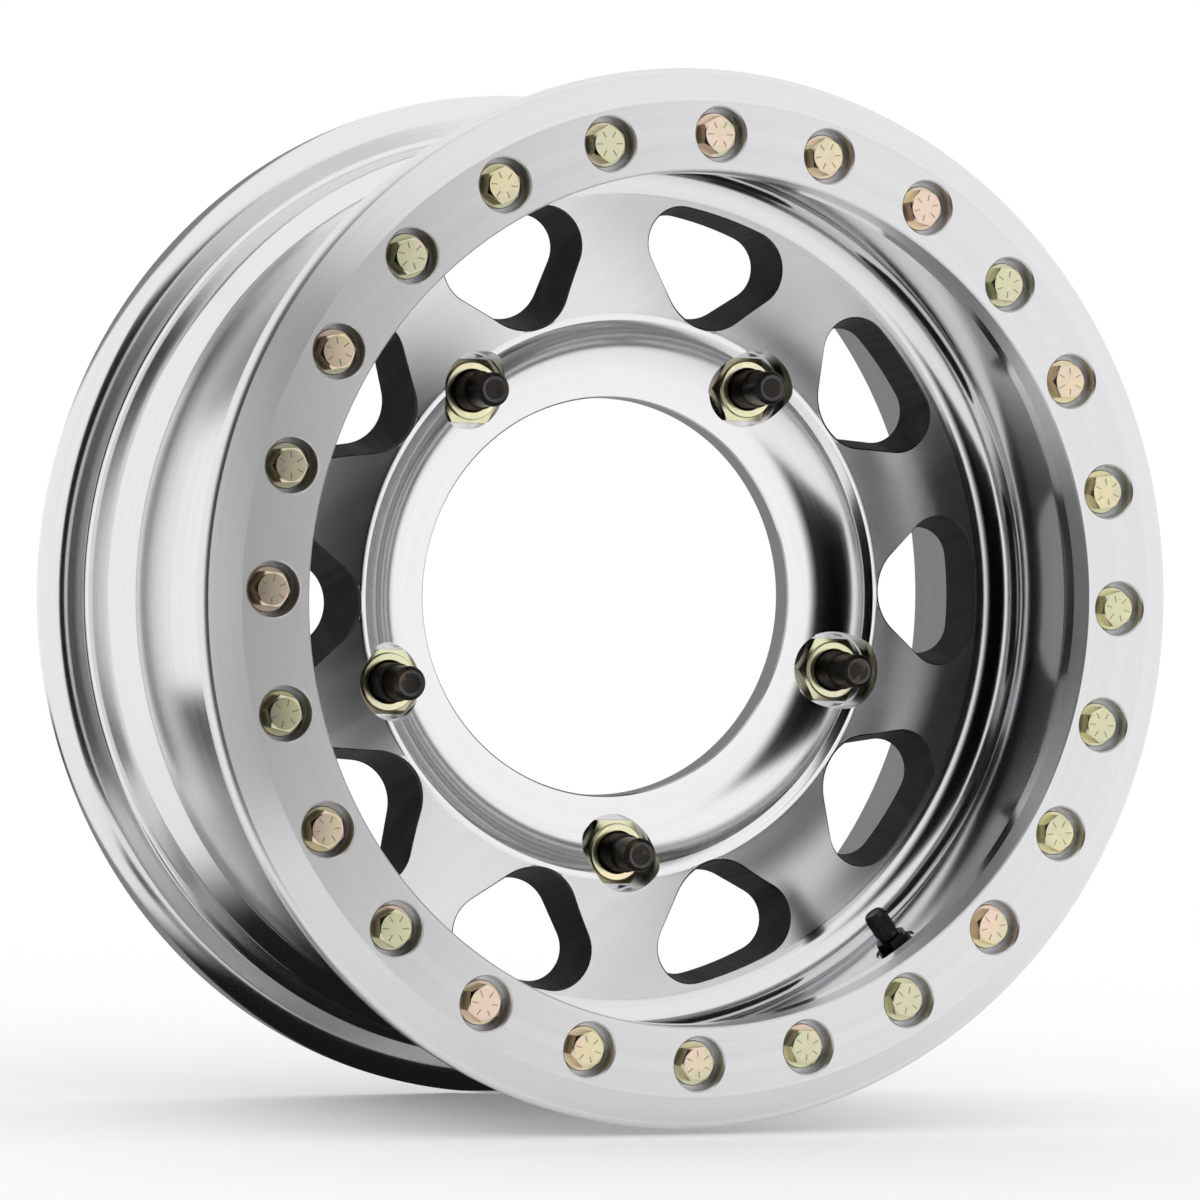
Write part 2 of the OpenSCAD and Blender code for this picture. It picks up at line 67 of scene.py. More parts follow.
# %% [markdown]
# The camera stands about 2.3 m away, to the left of the wheel's front, and looks through a long
# lens. A long lens keeps the ellipses of the bore and the ring close to parallel, as a product
# photographer likes them. The place and angles are written as numbers, so the view never drifts.

# %% Camera
camera_place = (-0.92975, -2.12014, 0.0018)
turn_left, tilt, roll, clock_offset = -23.715, -0.3086, -0.8233, -0.57
lens = 172.0


def turned_by(degrees, axis):
    return Matrix.Rotation(math.radians(degrees), 4, axis)


bpy.ops.object.camera_add()
camera = bpy.context.object
camera.name = "camera"
camera.matrix_world = (Matrix.Translation(camera_place) @ turned_by(clock_offset, "Y")
                       @ turned_by(turn_left, "Z") @ turned_by(tilt, "X") @ turned_by(roll, "Y")
                       @ turned_by(90, "X"))
camera.data.lens = lens
camera.data.sensor_width = 36
camera.data.clip_start = 0.01
bpy.context.scene.camera = camera
bpy.context.scene.view_settings.view_transform = "Standard"
print("camera looks along", list(camera.matrix_world.to_3x3() @ Vector((0, 0, -1))))

# %% [markdown]
# Bare metal shows its surroundings, so the studio is most of its look. The world is plain
# white for what the camera, metal and glass see, and a little softer for diffuse light. Cards
# around the wheel, which only reflections see, will draw the dark shapes on the polished metal.
# All of these are built from nodes, so a few helpers that add and join nodes come first.

# %% Node helpers


def add_node(tree, kind, place=(0, 0), **settings):
    node = tree.nodes.new(kind)
    node.location = place
    for name, value in settings.items():
        setattr(node, name, value)
    return node


def join(tree, start, out, end, into):
    tree.links.new(start.outputs[out], end.inputs[into])


def math_node(tree, operation, first, second=None, place=(0, 0)):
    """A Math node whose inputs are numbers or (node, output) pairs."""
    node = add_node(tree, "ShaderNodeMath", place, operation=operation)
    for number, value in enumerate((first, second)):
        if isinstance(value, tuple):
            join(tree, value[0], value[1], node, number)
        elif value is not None:
            node.inputs[number].default_value = value
    return node


def seen_directly(tree):
    """1 for rays from the camera, from metal and from glass, and 0 for diffuse light."""
    path = add_node(tree, "ShaderNodeLightPath", (-900, 0))
    either = math_node(tree, "MAXIMUM", (path, "Is Camera Ray"), (path, "Is Glossy Ray"), (-700, 0))
    return math_node(tree, "MAXIMUM", (either, 0), (path, "Is Transmission Ray"), (-500, 0))


def mix_shaders(tree, factor, first, second, output):
    """Mixes two shaders by a node's value and sends the mix to an output node."""
    mix = add_node(tree, "ShaderNodeMixShader", (100, 0))
    for number, node in enumerate((factor, first, second)):
        join(tree, node, 0, mix, number)
    join(tree, mix, 0, add_node(tree, output, (300, 0)), 0)


def empty_material(name):
    """A material without any nodes yet."""
    paint = bpy.data.materials.new(name)
    paint.use_nodes = True
    paint.node_tree.nodes.clear()
    return paint, paint.node_tree


print("node helpers are ready")

# %% World
diffuse_level = 0.85

world = bpy.data.worlds.new("studio")
bpy.context.scene.world = world
world.use_nodes = True
tree = world.node_tree
tree.nodes.clear()
seen = seen_directly(tree)
soft = add_node(tree, "ShaderNodeBackground", (-300, 100))
soft.inputs["Strength"].default_value = diffuse_level
white = add_node(tree, "ShaderNodeBackground", (-300, -100))
for background in (soft, white):
    background.inputs["Color"].default_value = (1, 1, 1, 1)
mix_shaders(tree, seen, soft, white, "ShaderNodeOutputWorld")
print("the world has", len(tree.nodes), "nodes")

# %% [markdown]
# The floor is a large plane that touches the lowest flange. It is white where it is seen and a
# little greyer in the light that it throws back, and it keeps the wheel's soft shadow.

# %% Floor
floor_size, floor_gap = 30, 0.2 * mm
floor_bounce = 0.8

floor_paint, tree = empty_material("pale_floor")
seen = seen_directly(tree)
bright = add_node(tree, "ShaderNodeBsdfDiffuse", (-300, 100))
bright.inputs["Color"].default_value = (1, 1, 1, 1)
dull = add_node(tree, "ShaderNodeBsdfDiffuse", (-300, -100))
dull.inputs["Color"].default_value = (floor_bounce, floor_bounce, floor_bounce, 1)
glow = add_node(tree, "ShaderNodeEmission", (-300, 300))
glow.inputs["Strength"].default_value = 1 - diffuse_level
lit = add_node(tree, "ShaderNodeAddShader", (-100, 200))
join(tree, glow, 0, lit, 0)
join(tree, bright, 0, lit, 1)
mix_shaders(tree, seen, dull, lit, "ShaderNodeOutputMaterial")


def deselect_all():
    if bpy.context.object and bpy.context.object.mode != "OBJECT":
        bpy.ops.object.mode_set(mode="OBJECT")
    bpy.ops.object.select_all(action="DESELECT")


deselect_all()
bpy.ops.mesh.primitive_plane_add(size=floor_size, location=(0, 0, cad_low.z - floor_gap))
floor = bpy.context.object
floor.name = "floor"
floor.data.materials.append(floor_paint)
print("the floor lies at z =", round(floor.location.z, 4))

# %% [markdown]
# A card is a plane that faces the wheel. Each of its four sides fades out over a width of its
# own, which gives the soft borders of a real flag that stands out of focus. It is hidden from
# the camera and from diffuse light, so only bare metal shows it. A black one left of the lens
# gives the hub its dark bands, two on the floor darken the barrel's underside, and a grey one
# inside the wheel behind the disc is painted shade that darkens what is seen through the windows.

# %% Cards


def side_fade(tree, along, start, stop):
    """A smooth step along one direction of the card, from 0 at start to 1 at stop."""
    ramp = add_node(tree, "ShaderNodeMapRange", (-500, 0), interpolation_type="SMOOTHSTEP")
    join(tree, along[0], along[1], ramp, "Value")
    ramp.inputs["From Min"].default_value = start
    ramp.inputs["From Max"].default_value = stop
    return ramp


def card(name, centre, towards, size, fades, level, spin=0):
    """A grey card at a place, turned to face another and then spun by degrees in its plane.

    The fades are widths at its own -X, +X, -Y and +Y sides.
    """
    paint, tree = empty_material(name)
    place = add_node(tree, "ShaderNodeTexCoord", (-1100, 0))
    parts = add_node(tree, "ShaderNodeSeparateXYZ", (-900, 0))
    join(tree, place, "Object", parts, 0)
    half_x, half_y = size[0] / 2, size[1] / 2
    mask = side_fade(tree, (parts, "X"), -half_x, fades[0] - half_x)
    for axis, start, stop in (("X", half_x, half_x - fades[1]), ("Y", -half_y, fades[2] - half_y),
                              ("Y", half_y, half_y - fades[3])):
        more = side_fade(tree, (parts, axis), start, stop)
        mask = math_node(tree, "MULTIPLY", (mask, 0), (more, 0), (-300, 0))
    clear = add_node(tree, "ShaderNodeBsdfTransparent", (-300, 200))
    grey = add_node(tree, "ShaderNodeEmission", (-300, -200))
    grey.inputs["Strength"].default_value = level
    mix_shaders(tree, mask, clear, grey, "ShaderNodeOutputMaterial")
    deselect_all()
    bpy.ops.mesh.primitive_plane_add(size=1, location=centre)
    plane = bpy.context.object
    plane.name = name
    plane.scale = (size[0], size[1], 1)
    bpy.ops.object.transform_apply(location=False, rotation=False, scale=True)
    facing = (Vector(towards) - Vector(centre)).to_track_quat("Z", "Y").to_matrix().to_4x4()
    plane.rotation_euler = (facing @ turned_by(spin, "Z")).to_euler()
    plane.data.materials.append(paint)
    plane.visible_camera = plane.visible_diffuse = plane.visible_shadow = False
    axes = plane.rotation_euler.to_matrix().col
    print(name, "has its axes along", [[round(v, 2) for v in axis] for axis in axes])


card_z = cad_low.z + 1 * mm
card("flag_left_of_lens", (-0.1095, -0.51, 0.04), (0.637, 0.156, 0.04), (0.785, 0.76),
     (0.27, 0.03, 0.12, 0.12), 0.0)
card("dark_floor_behind", (-0.026, 0.626, card_z), (-0.026, 0.626, 1), (0.84, 1.25),
     (0.2, 0.08, 0.35, 0.03), 0.01, spin=24)
card("dark_floor_at_the_left", (-0.2, -0.05, card_z), (-0.2, -0.05, 1), (0.16, 0.14),
     (0.04, 0.04, 0.04, 0.04), 0.1)
# Painted shade: a grey card inside the wheel behind the disc darkens what the windows show.
card("painted_shade_behind_the_disc", (0, 0.105, 0), (0, -1, 0), (0.41, 0.41),
     (0.015, 0.015, 0.015, 0.015), 0.25)

# %% [markdown]
# Now the modelling helpers. Most of this wheel is turned, and a turned piece starts as a
# section: half of the outline that a saw cut through the axis would show. A plane merged to
# one vertex is extruded from corner to corner, closed, and spun around the axis.

# %% Modelling helpers


def work_on(piece):
    deselect_all()
    piece.select_set(True)
    bpy.context.view_layer.objects.active = piece


def edit(piece):
    work_on(piece)
    bpy.ops.object.mode_set(mode="EDIT")
    bpy.ops.mesh.select_mode(type="VERT")
    bpy.ops.mesh.select_all(action="SELECT")


def trace(name, points):
    """A closed outline, drawn as by hand with one vertex that is extruded from point to point."""
    deselect_all()
    bpy.ops.mesh.primitive_plane_add(size=mm, location=points[0])
    outline = bpy.context.object
    outline.name = name
    bpy.ops.object.transform_apply(location=True)
    edit(outline)
    bpy.ops.mesh.merge(type="CENTER")
    for here, there in zip(points, points[1:]):
        step = Vector(there) - Vector(here)
        bpy.ops.mesh.extrude_vertices_move(TRANSFORM_OT_translate={"value": step})
    bpy.ops.mesh.select_all(action="SELECT")
    bpy.ops.mesh.edge_face_add()
    return outline


def tidy_mesh():
    """In edit mode: merges doubles and turns all faces outwards."""
    bpy.ops.mesh.select_all(action="SELECT")
    bpy.ops.mesh.remove_doubles(threshold=0.002 * mm)
    bpy.ops.mesh.normals_make_consistent(inside=False)


def turned(name, section, steps, axis_z=0.0):
    """A solid turned around a line along Y, from points (radius, y) in metres."""
    piece = trace(name, [(0, y, axis_z + r) for r, y in section])
    bpy.ops.mesh.delete(type="ONLY_FACE")
    bpy.ops.mesh.select_all(action="SELECT")
    bpy.ops.mesh.spin(steps=steps, angle=math.tau, center=(0, 0, axis_z), axis=(0, 1, 0),
                      use_auto_merge=True)
    tidy_mesh()
    bpy.ops.object.mode_set(mode="OBJECT")
    return piece


def arc(centre, radius, start, stop, steps):
    """Points (r, y) of an arc, its angles in degrees."""
    turns = [math.radians(start + (stop - start) * i / steps) for i in range(steps + 1)]
    return [(centre[0] + radius * math.cos(a), centre[1] + radius * math.sin(a)) for a in turns]


def combine(piece, tool, operation="DIFFERENCE"):
    """Cuts, adds or intersects with a second mesh, which is then removed."""
    work_on(piece)
    bpy.ops.object.modifier_add(type="BOOLEAN")
    change = piece.modifiers[-1]
    change.operation, change.object, change.solver = operation, tool, "EXACT"
    change.material_mode = "TRANSFER"
    bpy.ops.object.modifier_apply(modifier=change.name)
    bpy.data.objects.remove(tool)


def turn_mesh(degrees, centre=(0, 0, 0)):
    """In edit mode: turns what is selected around Y, clockwise as seen from the front."""
    bpy.ops.transform.rotate(value=math.radians(degrees) * rotate_sign, orient_axis="Y",
                             center_override=centre)


def copies_around(count):
    """In edit mode: copies what is selected around the wheel's axis."""
    for _ in range(count - 1):
        bpy.ops.mesh.duplicate()
        turn_mesh(360 / count)


def smooth(piece, degrees=30):
    """Smooth shading with sharp corners kept, and large flat faces left flat."""
    work_on(piece)
    bpy.ops.object.shade_smooth_by_angle(angle=math.radians(degrees))
    bpy.ops.object.modifier_add(type="WEIGHTED_NORMAL")
    change = piece.modifiers[-1]
    change.keep_sharp = True
    change.weight = 100
    bpy.ops.object.modifier_apply(modifier=change.name)


def finished(piece, body, slot, *nodes):
    """Hangs a finished piece on its body in place of its CAD nodes."""
    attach(piece, body)
    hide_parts(*nodes)
    triangles = sum(len(face.vertices) - 2 for face in piece.data.polygons)
    print(piece.name, "has", triangles, "triangles")


print("modelling helpers are ready")

# %% [markdown]
# With no window open, the rotate operator turns the other way round than in the editor. One
# small probe shows which way it goes, so that every later turn can be given in plain degrees.

# %% Which way does rotate turn here?
rotate_sign = 1
probe = trace("probe", [(0, 0, 1), (0, 0.1, 1), (0, 0.1, 1.1)])
turn_mesh(90)
bpy.ops.object.mode_set(mode="OBJECT")
if probe.data.vertices[0].co.x < 0:
    rotate_sign = -1
bpy.data.objects.remove(probe)
print("rotate sign", rotate_sign)

# %% [markdown]
# Driving sizes, in metres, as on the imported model. The front of the wheel looks along -Y, and
# a place along the axis is a y. What can be read from the frame is read from it.

# %% Sizes
ring_low, ring_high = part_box("beadlock_ring")
ring_face_y = ring_low.y
seat_y = ring_high.y
ring_out_r = ring_high.x
flange_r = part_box("wheel")[1].x
lip_back_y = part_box("wheel")[1].y
ring_in_r = 165.4 * mm
ring_land_r = 192.4 * mm
bevel_depth = 8 * mm
register_r, register_h = 170 * mm, 2.5 * mm
bead_r = 190.1 * mm
seat_w = 18 * mm
well_r = 181.5 * mm
inner_r = 175 * mm
curl_r, flange_t = 9.5 * mm, 6.3 * mm
spoke_y, disc_back_y, spoke_rise = -22.7 * mm, -1.5 * mm, 4.7 * mm
disc_fillet_r = 14 * mm
bore_r, hub_y = 80 * mm, -11.5 * mm
lip_r, lip_w, lip_y = 112.5 * mm, 1.7 * mm, -27.6 * mm
lip_bevel_w, lip_bevel_h = 2.6 * mm, 2.1 * mm
pad_r = 115 * mm
bowl_r, bowl_from, bowl_to = 30 * mm, 6, 57
clocking = -2.3
edge = 0.6 * mm
print("ring face at y =", round(ring_face_y / mm, 2), "mm")
print("rear flange", round(2 * flange_r / mm, 1), "mm across")

# %% [markdown]
# Finishes. Three effects appear on more than one material, so each is a node group: the fine
# rings that a lathe tool leaves, the straight marks of a milling cutter, and the rainbow film
# of yellow zinc plating. A group only puts out colours, masks and heights. The numbers that
# hold all over a surface, such as its metallic value, stay on the shader itself.

# %% Effect groups


def new_group(name, inputs, outputs):
    group = bpy.data.node_groups.new(name, "ShaderNodeTree")
    for label, default in inputs:
        socket = group.interface.new_socket(name=label, in_out="INPUT",
                                            socket_type="NodeSocketFloat")
        socket.default_value = default
    for label, kind in outputs:
        group.interface.new_socket(name=label, in_out="OUTPUT", socket_type=kind)
    start = add_node(group, "NodeGroupInput", (-1600, 0))
    end = add_node(group, "NodeGroupOutput", (900, 0))
    return group, start, end


def noise_node(tree, vector, scale, detail, place):
    """A Noise Texture that reads its place from a (node, output) pair."""
    node = add_node(tree, "ShaderNodeTexNoise", place)
    node.inputs["Scale"].default_value = scale
    node.inputs["Detail"].default_value = detail
    join(tree, vector[0], vector[1], node, "Vector")
    return node


def blend(tree, factor, first, second, place):
    """A colour Mix node. Its colours are three numbers or a (node, output) pair."""
    mix = add_node(tree, "ShaderNodeMix", place, data_type="RGBA")
    join(tree, factor, 0, mix, "Factor")
    for label, color in (("A", first), ("B", second)):
        if len(color) == 2:
            join(tree, color[0], color[1], mix, label)
        else:
            mix.inputs[label].default_value = (*color, 1)
    return mix


def marks_out(group, fine, wide, end):
    """Height comes from the fine marks, and Tone from the mean of fine and wide ones."""
    join(group, fine, "Fac", end, "Height")
    total = math_node(group, "ADD", (fine, "Fac"), (wide, "Fac"), (-100, -300))
    tone = math_node(group, "MULTIPLY", (total, 0), 0.5, (100, -300))
    join(group, tone, 0, end, "Tone")
    return group


def lathe_marks_group():
    """Fine rings around the wheel's axis, from the distance to that axis and the place along it."""
    group, start, end = new_group(
        "lathe_marks", [("Rings per Metre", 1500.0), ("Drift", 1.5)],
        [("Height", "NodeSocketFloat"), ("Tone", "NodeSocketFloat")])
    place = add_node(group, "ShaderNodeTexCoord", (-1600, -300))
    parts = add_node(group, "ShaderNodeSeparateXYZ", (-1400, -300))
    join(group, place, "Object", parts, 0)
    flat = add_node(group, "ShaderNodeCombineXYZ", (-1200, -500))
    join(group, parts, "X", flat, "X")
    join(group, parts, "Z", flat, "Y")
    radius = add_node(group, "ShaderNodeVectorMath", (-1000, -500), operation="LENGTH")
    join(group, flat, 0, radius, 0)
    across = math_node(group, "MULTIPLY", (radius, "Value"), (start, "Rings per Metre"),
                       (-800, -500))
    along = math_node(group, "MULTIPLY", (parts, "Y"), (start, "Rings per Metre"), (-800, -300))
    angle = math_node(group, "ARCTAN2", (parts, "X"), (parts, "Z"), (-1200, -100))
    slow = math_node(group, "COSINE", (angle, 0), place=(-1000, -100))
    drift = math_node(group, "MULTIPLY", (slow, 0), (start, "Drift"), (-800, -100))
    where = add_node(group, "ShaderNodeCombineXYZ", (-600, -300))
    join(group, across, 0, where, "X")
    join(group, along, 0, where, "Y")
    join(group, drift, 0, where, "Z")
    fine = noise_node(group, (where, 0), 1.0, 1.0, (-400, -200))
    wide = noise_node(group, (where, 0), 0.13, 2.0, (-400, -500))
    return marks_out(group, fine, wide, end)


def mill_marks_group():
    """Fine straight scratches that run across the disc at one angle."""
    group, start, end = new_group(
        "mill_marks", [("Lines per Metre", 1400.0), ("Angle", 0.6)],
        [("Height", "NodeSocketFloat"), ("Tone", "NodeSocketFloat")])
    place = add_node(group, "ShaderNodeTexCoord", (-1600, -300))
    turn = add_node(group, "ShaderNodeVectorRotate", (-1400, -300), rotation_type="Y_AXIS")
    join(group, place, "Object", turn, "Vector")
    join(group, start, "Angle", turn, "Angle")
    parts = add_node(group, "ShaderNodeSeparateXYZ", (-1200, -300))
    join(group, turn, 0, parts, 0)
    across = math_node(group, "MULTIPLY", (parts, "Z"), (start, "Lines per Metre"), (-1000, -200))
    along = math_node(group, "MULTIPLY", (parts, "X"), 25.0, (-1000, -400))
    where = add_node(group, "ShaderNodeCombineXYZ", (-800, -300))
    join(group, across, 0, where, "X")
    join(group, along, 0, where, "Y")
    fine = noise_node(group, (where, 0), 1.0, 2.0, (-600, -200))
    wide = noise_node(group, (where, 0), 0.08, 2.0, (-600, -500))
    return marks_out(group, fine, wide, end)


def zinc_film_group():
    """The film of yellow chromate on zinc: each piece has its own tint, gold, pink or green."""
    group, start, end = new_group(
        "zinc_film", [("Pieces per Metre", 24.0), ("Patches per Metre", 260.0), ("Mottle", 0.35),
                      ("Shift", 0.0)], [("Color", "NodeSocketColor")])
    place = add_node(group, "ShaderNodeTexCoord", (-1600, -300))
    shift = add_node(group, "ShaderNodeCombineXYZ", (-1400, -500))
    join(group, start, "Shift", shift, "Y")
    noises = {}
    for number, (label, scale, seed) in enumerate((
            ("pink", "Pieces per Metre", 0.0), ("green", "Pieces per Metre", 31.7),
            ("fine", "Patches per Metre", 7.3))):
        scaled = add_node(group, "ShaderNodeVectorMath", (-1200, -300 * number), operation="SCALE")
        join(group, place, "Object", scaled, 0)
        join(group, start, scale, scaled, "Scale")
        moved = add_node(group, "ShaderNodeVectorMath", (-1000, -300 * number), operation="ADD")
        join(group, scaled, 0, moved, 0)
        join(group, shift, 0, moved, 1)
        offset = add_node(group, "ShaderNodeVectorMath", (-900, -300 * number), operation="ADD")
        offset.inputs[1].default_value = (seed, seed, seed)
        join(group, moved, 0, offset, 0)
        noises[label] = noise_node(group, (offset, 0), 1.0, 1.0, (-700, -300 * number))
    spots = math_node(group, "SUBTRACT", (noises["fine"], "Fac"), 0.5, (-500, -600))
    spots = math_node(group, "MULTIPLY", (spots, 0), (start, "Mottle"), (-350, -600))
    masks = {}
    for number, label in enumerate(("pink", "green")):
        total = math_node(group, "ADD", (noises[label], "Fac"), (spots, 0), (-300, -300 * number))
        masks[label] = side_fade(group, (total, 0), 0.42, 0.56)
    gold, pink, green = (0.80, 0.72, 0.45), (0.84, 0.66, 0.53), (0.64, 0.66, 0.44)
    warm = blend(group, masks["pink"], gold, pink, (-100, 0))
    most = math_node(group, "MULTIPLY", (masks["green"], 0), 0.8, (-100, -300))
    film = blend(group, most, (warm, "Result"), green, (100, 0))
    join(group, film, "Result", end, "Color")
    return group


lathe_marks = lathe_marks_group()
mill_marks = mill_marks_group()
zinc_film = zinc_film_group()
print("effect groups:", [group.name for group in bpy.data.node_groups])

# %% [markdown]
# Each finish is one material. It places a group, stretches the group's tone between two greys
# and two roughnesses, and lets the group's height tilt the surface by a few thousandths of a
# millimetre at most. Only the walls of the windows are left as rough as they were cut, and their
# near black greys are painted shade.

# %% Finishes


def start_material(name, color, metallic, roughness):
    """A material with one Principled shader and its plain numbers."""
    paint = bpy.data.materials.new(name)
    paint.use_nodes = True
    paint.diffuse_color = (*color, 1)
    shader = paint.node_tree.nodes["Principled BSDF"]
    shader.inputs["Base Color"].default_value = (*color, 1)
    shader.inputs["Metallic"].default_value = metallic
    shader.inputs["Roughness"].default_value = roughness
    return paint, paint.node_tree, shader


def place_group(tree, group, **values):
    node = add_node(tree, "ShaderNodeGroup", (-900, 0), node_tree=group)
    for label, value in values.items():
        node.inputs[label.replace("_", " ")].default_value = value
    return node


def between(tree, source, low, high, place):
    """Stretches a 0 to 1 value to another range."""
    ramp = add_node(tree, "ShaderNodeMapRange", place)
    ramp.inputs["From Min"].default_value = 0.3
    ramp.inputs["From Max"].default_value = 0.7
    ramp.inputs["To Min"].default_value = low
    ramp.inputs["To Max"].default_value = high
    join(tree, source[0], source[1], ramp, "Value")
    return ramp


def grey_scale(tree, shader, source, dark, light):
    """Base Color between two greys."""
    mix = blend(tree, between(tree, source, 0, 1, (-500, 300)), dark, light, (-300, 300))
    join(tree, mix, "Result", shader, "Base Color")


def raised(tree, shader, source, depth):
    """Height that bends the light as a groove of this depth would."""
    bump = add_node(tree, "ShaderNodeBump", (-300, -300))
    bump.inputs["Distance"].default_value = depth
    join(tree, source[0], source[1], bump, "Height")
    join(tree, bump, 0, shader, "Normal")


def machined(name, group, values, greys, roughness, depth):
    """Machined aluminium: marks from a group, with greys and roughness that follow them."""
    paint, tree, shader = start_material(name, greys[1], 1.0, roughness[0])
    marks = place_group(tree, group, **values)
    grey_scale(tree, shader, (marks, "Tone"), greys[0], greys[1])
    rough = between(tree, (marks, "Tone"), roughness[1], roughness[0], (-500, 0))
    join(tree, rough, 0, shader, "Roughness")
    raised(tree, shader, (marks, "Height"), depth)
    return paint


turned_barrel = machined("turned_barrel", lathe_marks, {"Rings_per_Metre": 900.0},
                         ((0.78, 0.78, 0.79), (0.83, 0.83, 0.84)), (0.15, 0.20), 0.0008 * mm)
polished_hub = machined("polished_hub", lathe_marks, {"Rings_per_Metre": 1500.0},
                        ((0.84, 0.84, 0.85), (0.89, 0.89, 0.90)), (0.13, 0.18), 0.0006 * mm)
polished_barrel = machined("polished_barrel", lathe_marks, {"Rings_per_Metre": 1100.0},
                           ((0.74, 0.74, 0.75), (0.80, 0.80, 0.81)), (0.10, 0.15), 0.0006 * mm)
milled_disc = machined("milled_disc", mill_marks, {"Lines_per_Metre": 1500.0},
                       ((0.80, 0.80, 0.81), (0.84, 0.84, 0.85)), (0.20, 0.25), 0.0012 * mm)
# Painted shade: the walls of the windows get near black greys, far darker than bare aluminium.
window_wall_painted_shade = machined("window_wall_painted_shade", mill_marks, {"Lines_per_Metre": 500.0, "Angle": 1.3},
                       ((0.065, 0.065, 0.068), (0.105, 0.105, 0.11)), (0.42, 0.55), 0.02 * mm)
pocket_wall = machined("pocket_wall", lathe_marks, {"Rings_per_Metre": 700.0},
                       ((0.62, 0.62, 0.63), (0.76, 0.76, 0.77)), (0.12, 0.2), 0.002 * mm)
counterbore_wall = machined("counterbore_wall", lathe_marks, {"Rings_per_Metre": 700.0},
                            ((0.58, 0.58, 0.59), (0.70, 0.70, 0.71)), (0.30, 0.38), 0.002 * mm)
turned_ring = machined("turned_ring", lathe_marks, {"Rings_per_Metre": 1100.0},
                       ((0.76, 0.76, 0.77), (0.81, 0.81, 0.82)), (0.34, 0.42), 0.002 * mm)
print("aluminium finishes:", len(bpy.data.materials))

# %% [markdown]
# The wheel itself. Its section runs from the seat of the clamp ring back along the outside of
# the barrel, round the curl of the rear flange, forward along the inside, in along the back of
# the disc, through the bore, up the hollow of the hub to its lip and out over the spokes to
# the front opening. Arcs are stepped finely, so that reflections slide over them smoothly.

# %% Wheel section
seat_taper = 5
seat_drop = seat_w * math.tan(math.radians(seat_taper))
seat_end_r = bead_r - seat_drop
lip_overhang, root_fillet, curl_fillet = 3.9 * mm, 2.5 * mm, 6 * mm
curl_y = lip_back_y - lip_overhang
curl_c = (flange_r - curl_r, curl_y)
flange_face_y = curl_y - curl_r
seat_root_y = flange_face_y - root_fillet - 0.1 * mm
seat_front_y = seat_root_y - seat_w
rear_slope, front_slope = 13 * mm, 11 * mm
wall_t, back_fillet = 6.5 * mm, 10 * mm
corner_w, corner_h = 1.6 * mm, 2 * mm
ease_r, ease_y = 0.8 * mm, 1 * mm
well_depth = bead_r - well_r
slope_end_y = seat_front_y - rear_slope
bowl_c = (lip_r - lip_w - lip_bevel_w - bowl_r * math.sin(math.radians(bowl_to)),
          lip_y + lip_bevel_h - bowl_r * math.cos(math.radians(bowl_to)))
face_from, face_to = lip_r + 0.7 * mm, inner_r - disc_fillet_r


def outside_of_barrel():
    front = seat_y + corner_h + seat_w
    well_y = front + front_slope
    return ([(ring_in_r, seat_y - register_h), (register_r, seat_y - register_h),
             (register_r, seat_y), (bead_r - corner_w, seat_y), (bead_r, seat_y + corner_h),
             (seat_end_r, front), (seat_end_r - corner_w, front + corner_h),
             (well_r + ease_r, well_y - ease_y), (well_r, well_y + 2 * ease_y),
             (well_r, slope_end_y - ease_y), (well_r + ease_r, slope_end_y + ease_y),
             (seat_end_r - 0.9 * mm, seat_front_y - 1.2 * mm),
             (seat_end_r, seat_front_y + 0.6 * mm), (bead_r, seat_root_y)]
            + arc((bead_r + root_fillet - 0.1 * mm, seat_root_y + 0.1 * mm), root_fillet,
                  180, 90, 8)
            + arc(curl_c, curl_r, -90, 0, 20)
            + [(flange_r, lip_back_y - 1.8 * mm), (flange_r - 1.2 * mm, lip_back_y - 0.3 * mm),
               (flange_r - flange_t + 1.2 * mm, lip_back_y),
               (flange_r - flange_t, lip_back_y - 1 * mm)])


def inside_of_barrel():
    root = inner_r + well_depth - seat_drop
    fillet_c = (bead_r - wall_t + curl_fillet, flange_face_y + flange_t - curl_fillet)
    return (arc(curl_c, curl_r - flange_t, 0, -90, 10) + arc(fillet_c, curl_fillet, 90, 180, 10)
            + [(root - 0.4 * mm, seat_front_y + ease_y), (root - corner_w, seat_front_y - ease_y),
               (inner_r + ease_r, slope_end_y + ease_y), (inner_r, slope_end_y - ease_y)]
            + arc((inner_r - back_fillet, disc_back_y + back_fillet), back_fillet, 0, -90, 14))


def face_y(radius):
    """Place of the spokes' face, which sweeps forward from the barrel to the hub."""
    inwards = 1 - (radius - face_from) / (face_to - face_from)
    return spoke_y - spoke_rise * min(1.0, max(0.0, inwards)) ** 2


def disc_and_front():
    sweep = [face_from + (face_to - face_from) * i / 24 for i in range(24)]
    return ([(pad_r + 3 * mm, disc_back_y), (pad_r, 0), (bore_r + edge, 0), (bore_r, -edge),
             (bore_r, hub_y + edge), (bore_r + edge, hub_y)]
            + arc(bowl_c, bowl_r, 90 - bowl_from, 90 - bowl_to, 40)
            + [(lip_r - lip_w - 0.15 * mm, lip_y + 0.12 * mm), (lip_r - lip_w + 0.2 * mm, lip_y),
               (lip_r, lip_y)]
            + [(r, face_y(r)) for r in sweep]
            + arc((face_to, spoke_y - disc_fillet_r), disc_fillet_r, 90, 0, 18)
            + [(inner_r, seat_y + 24 * mm), (inner_r - 0.8 * mm, seat_y + 21 * mm),
               (ring_in_r + 1.4 * mm, seat_y + 5.2 * mm), (ring_in_r, seat_y + 3.8 * mm)])


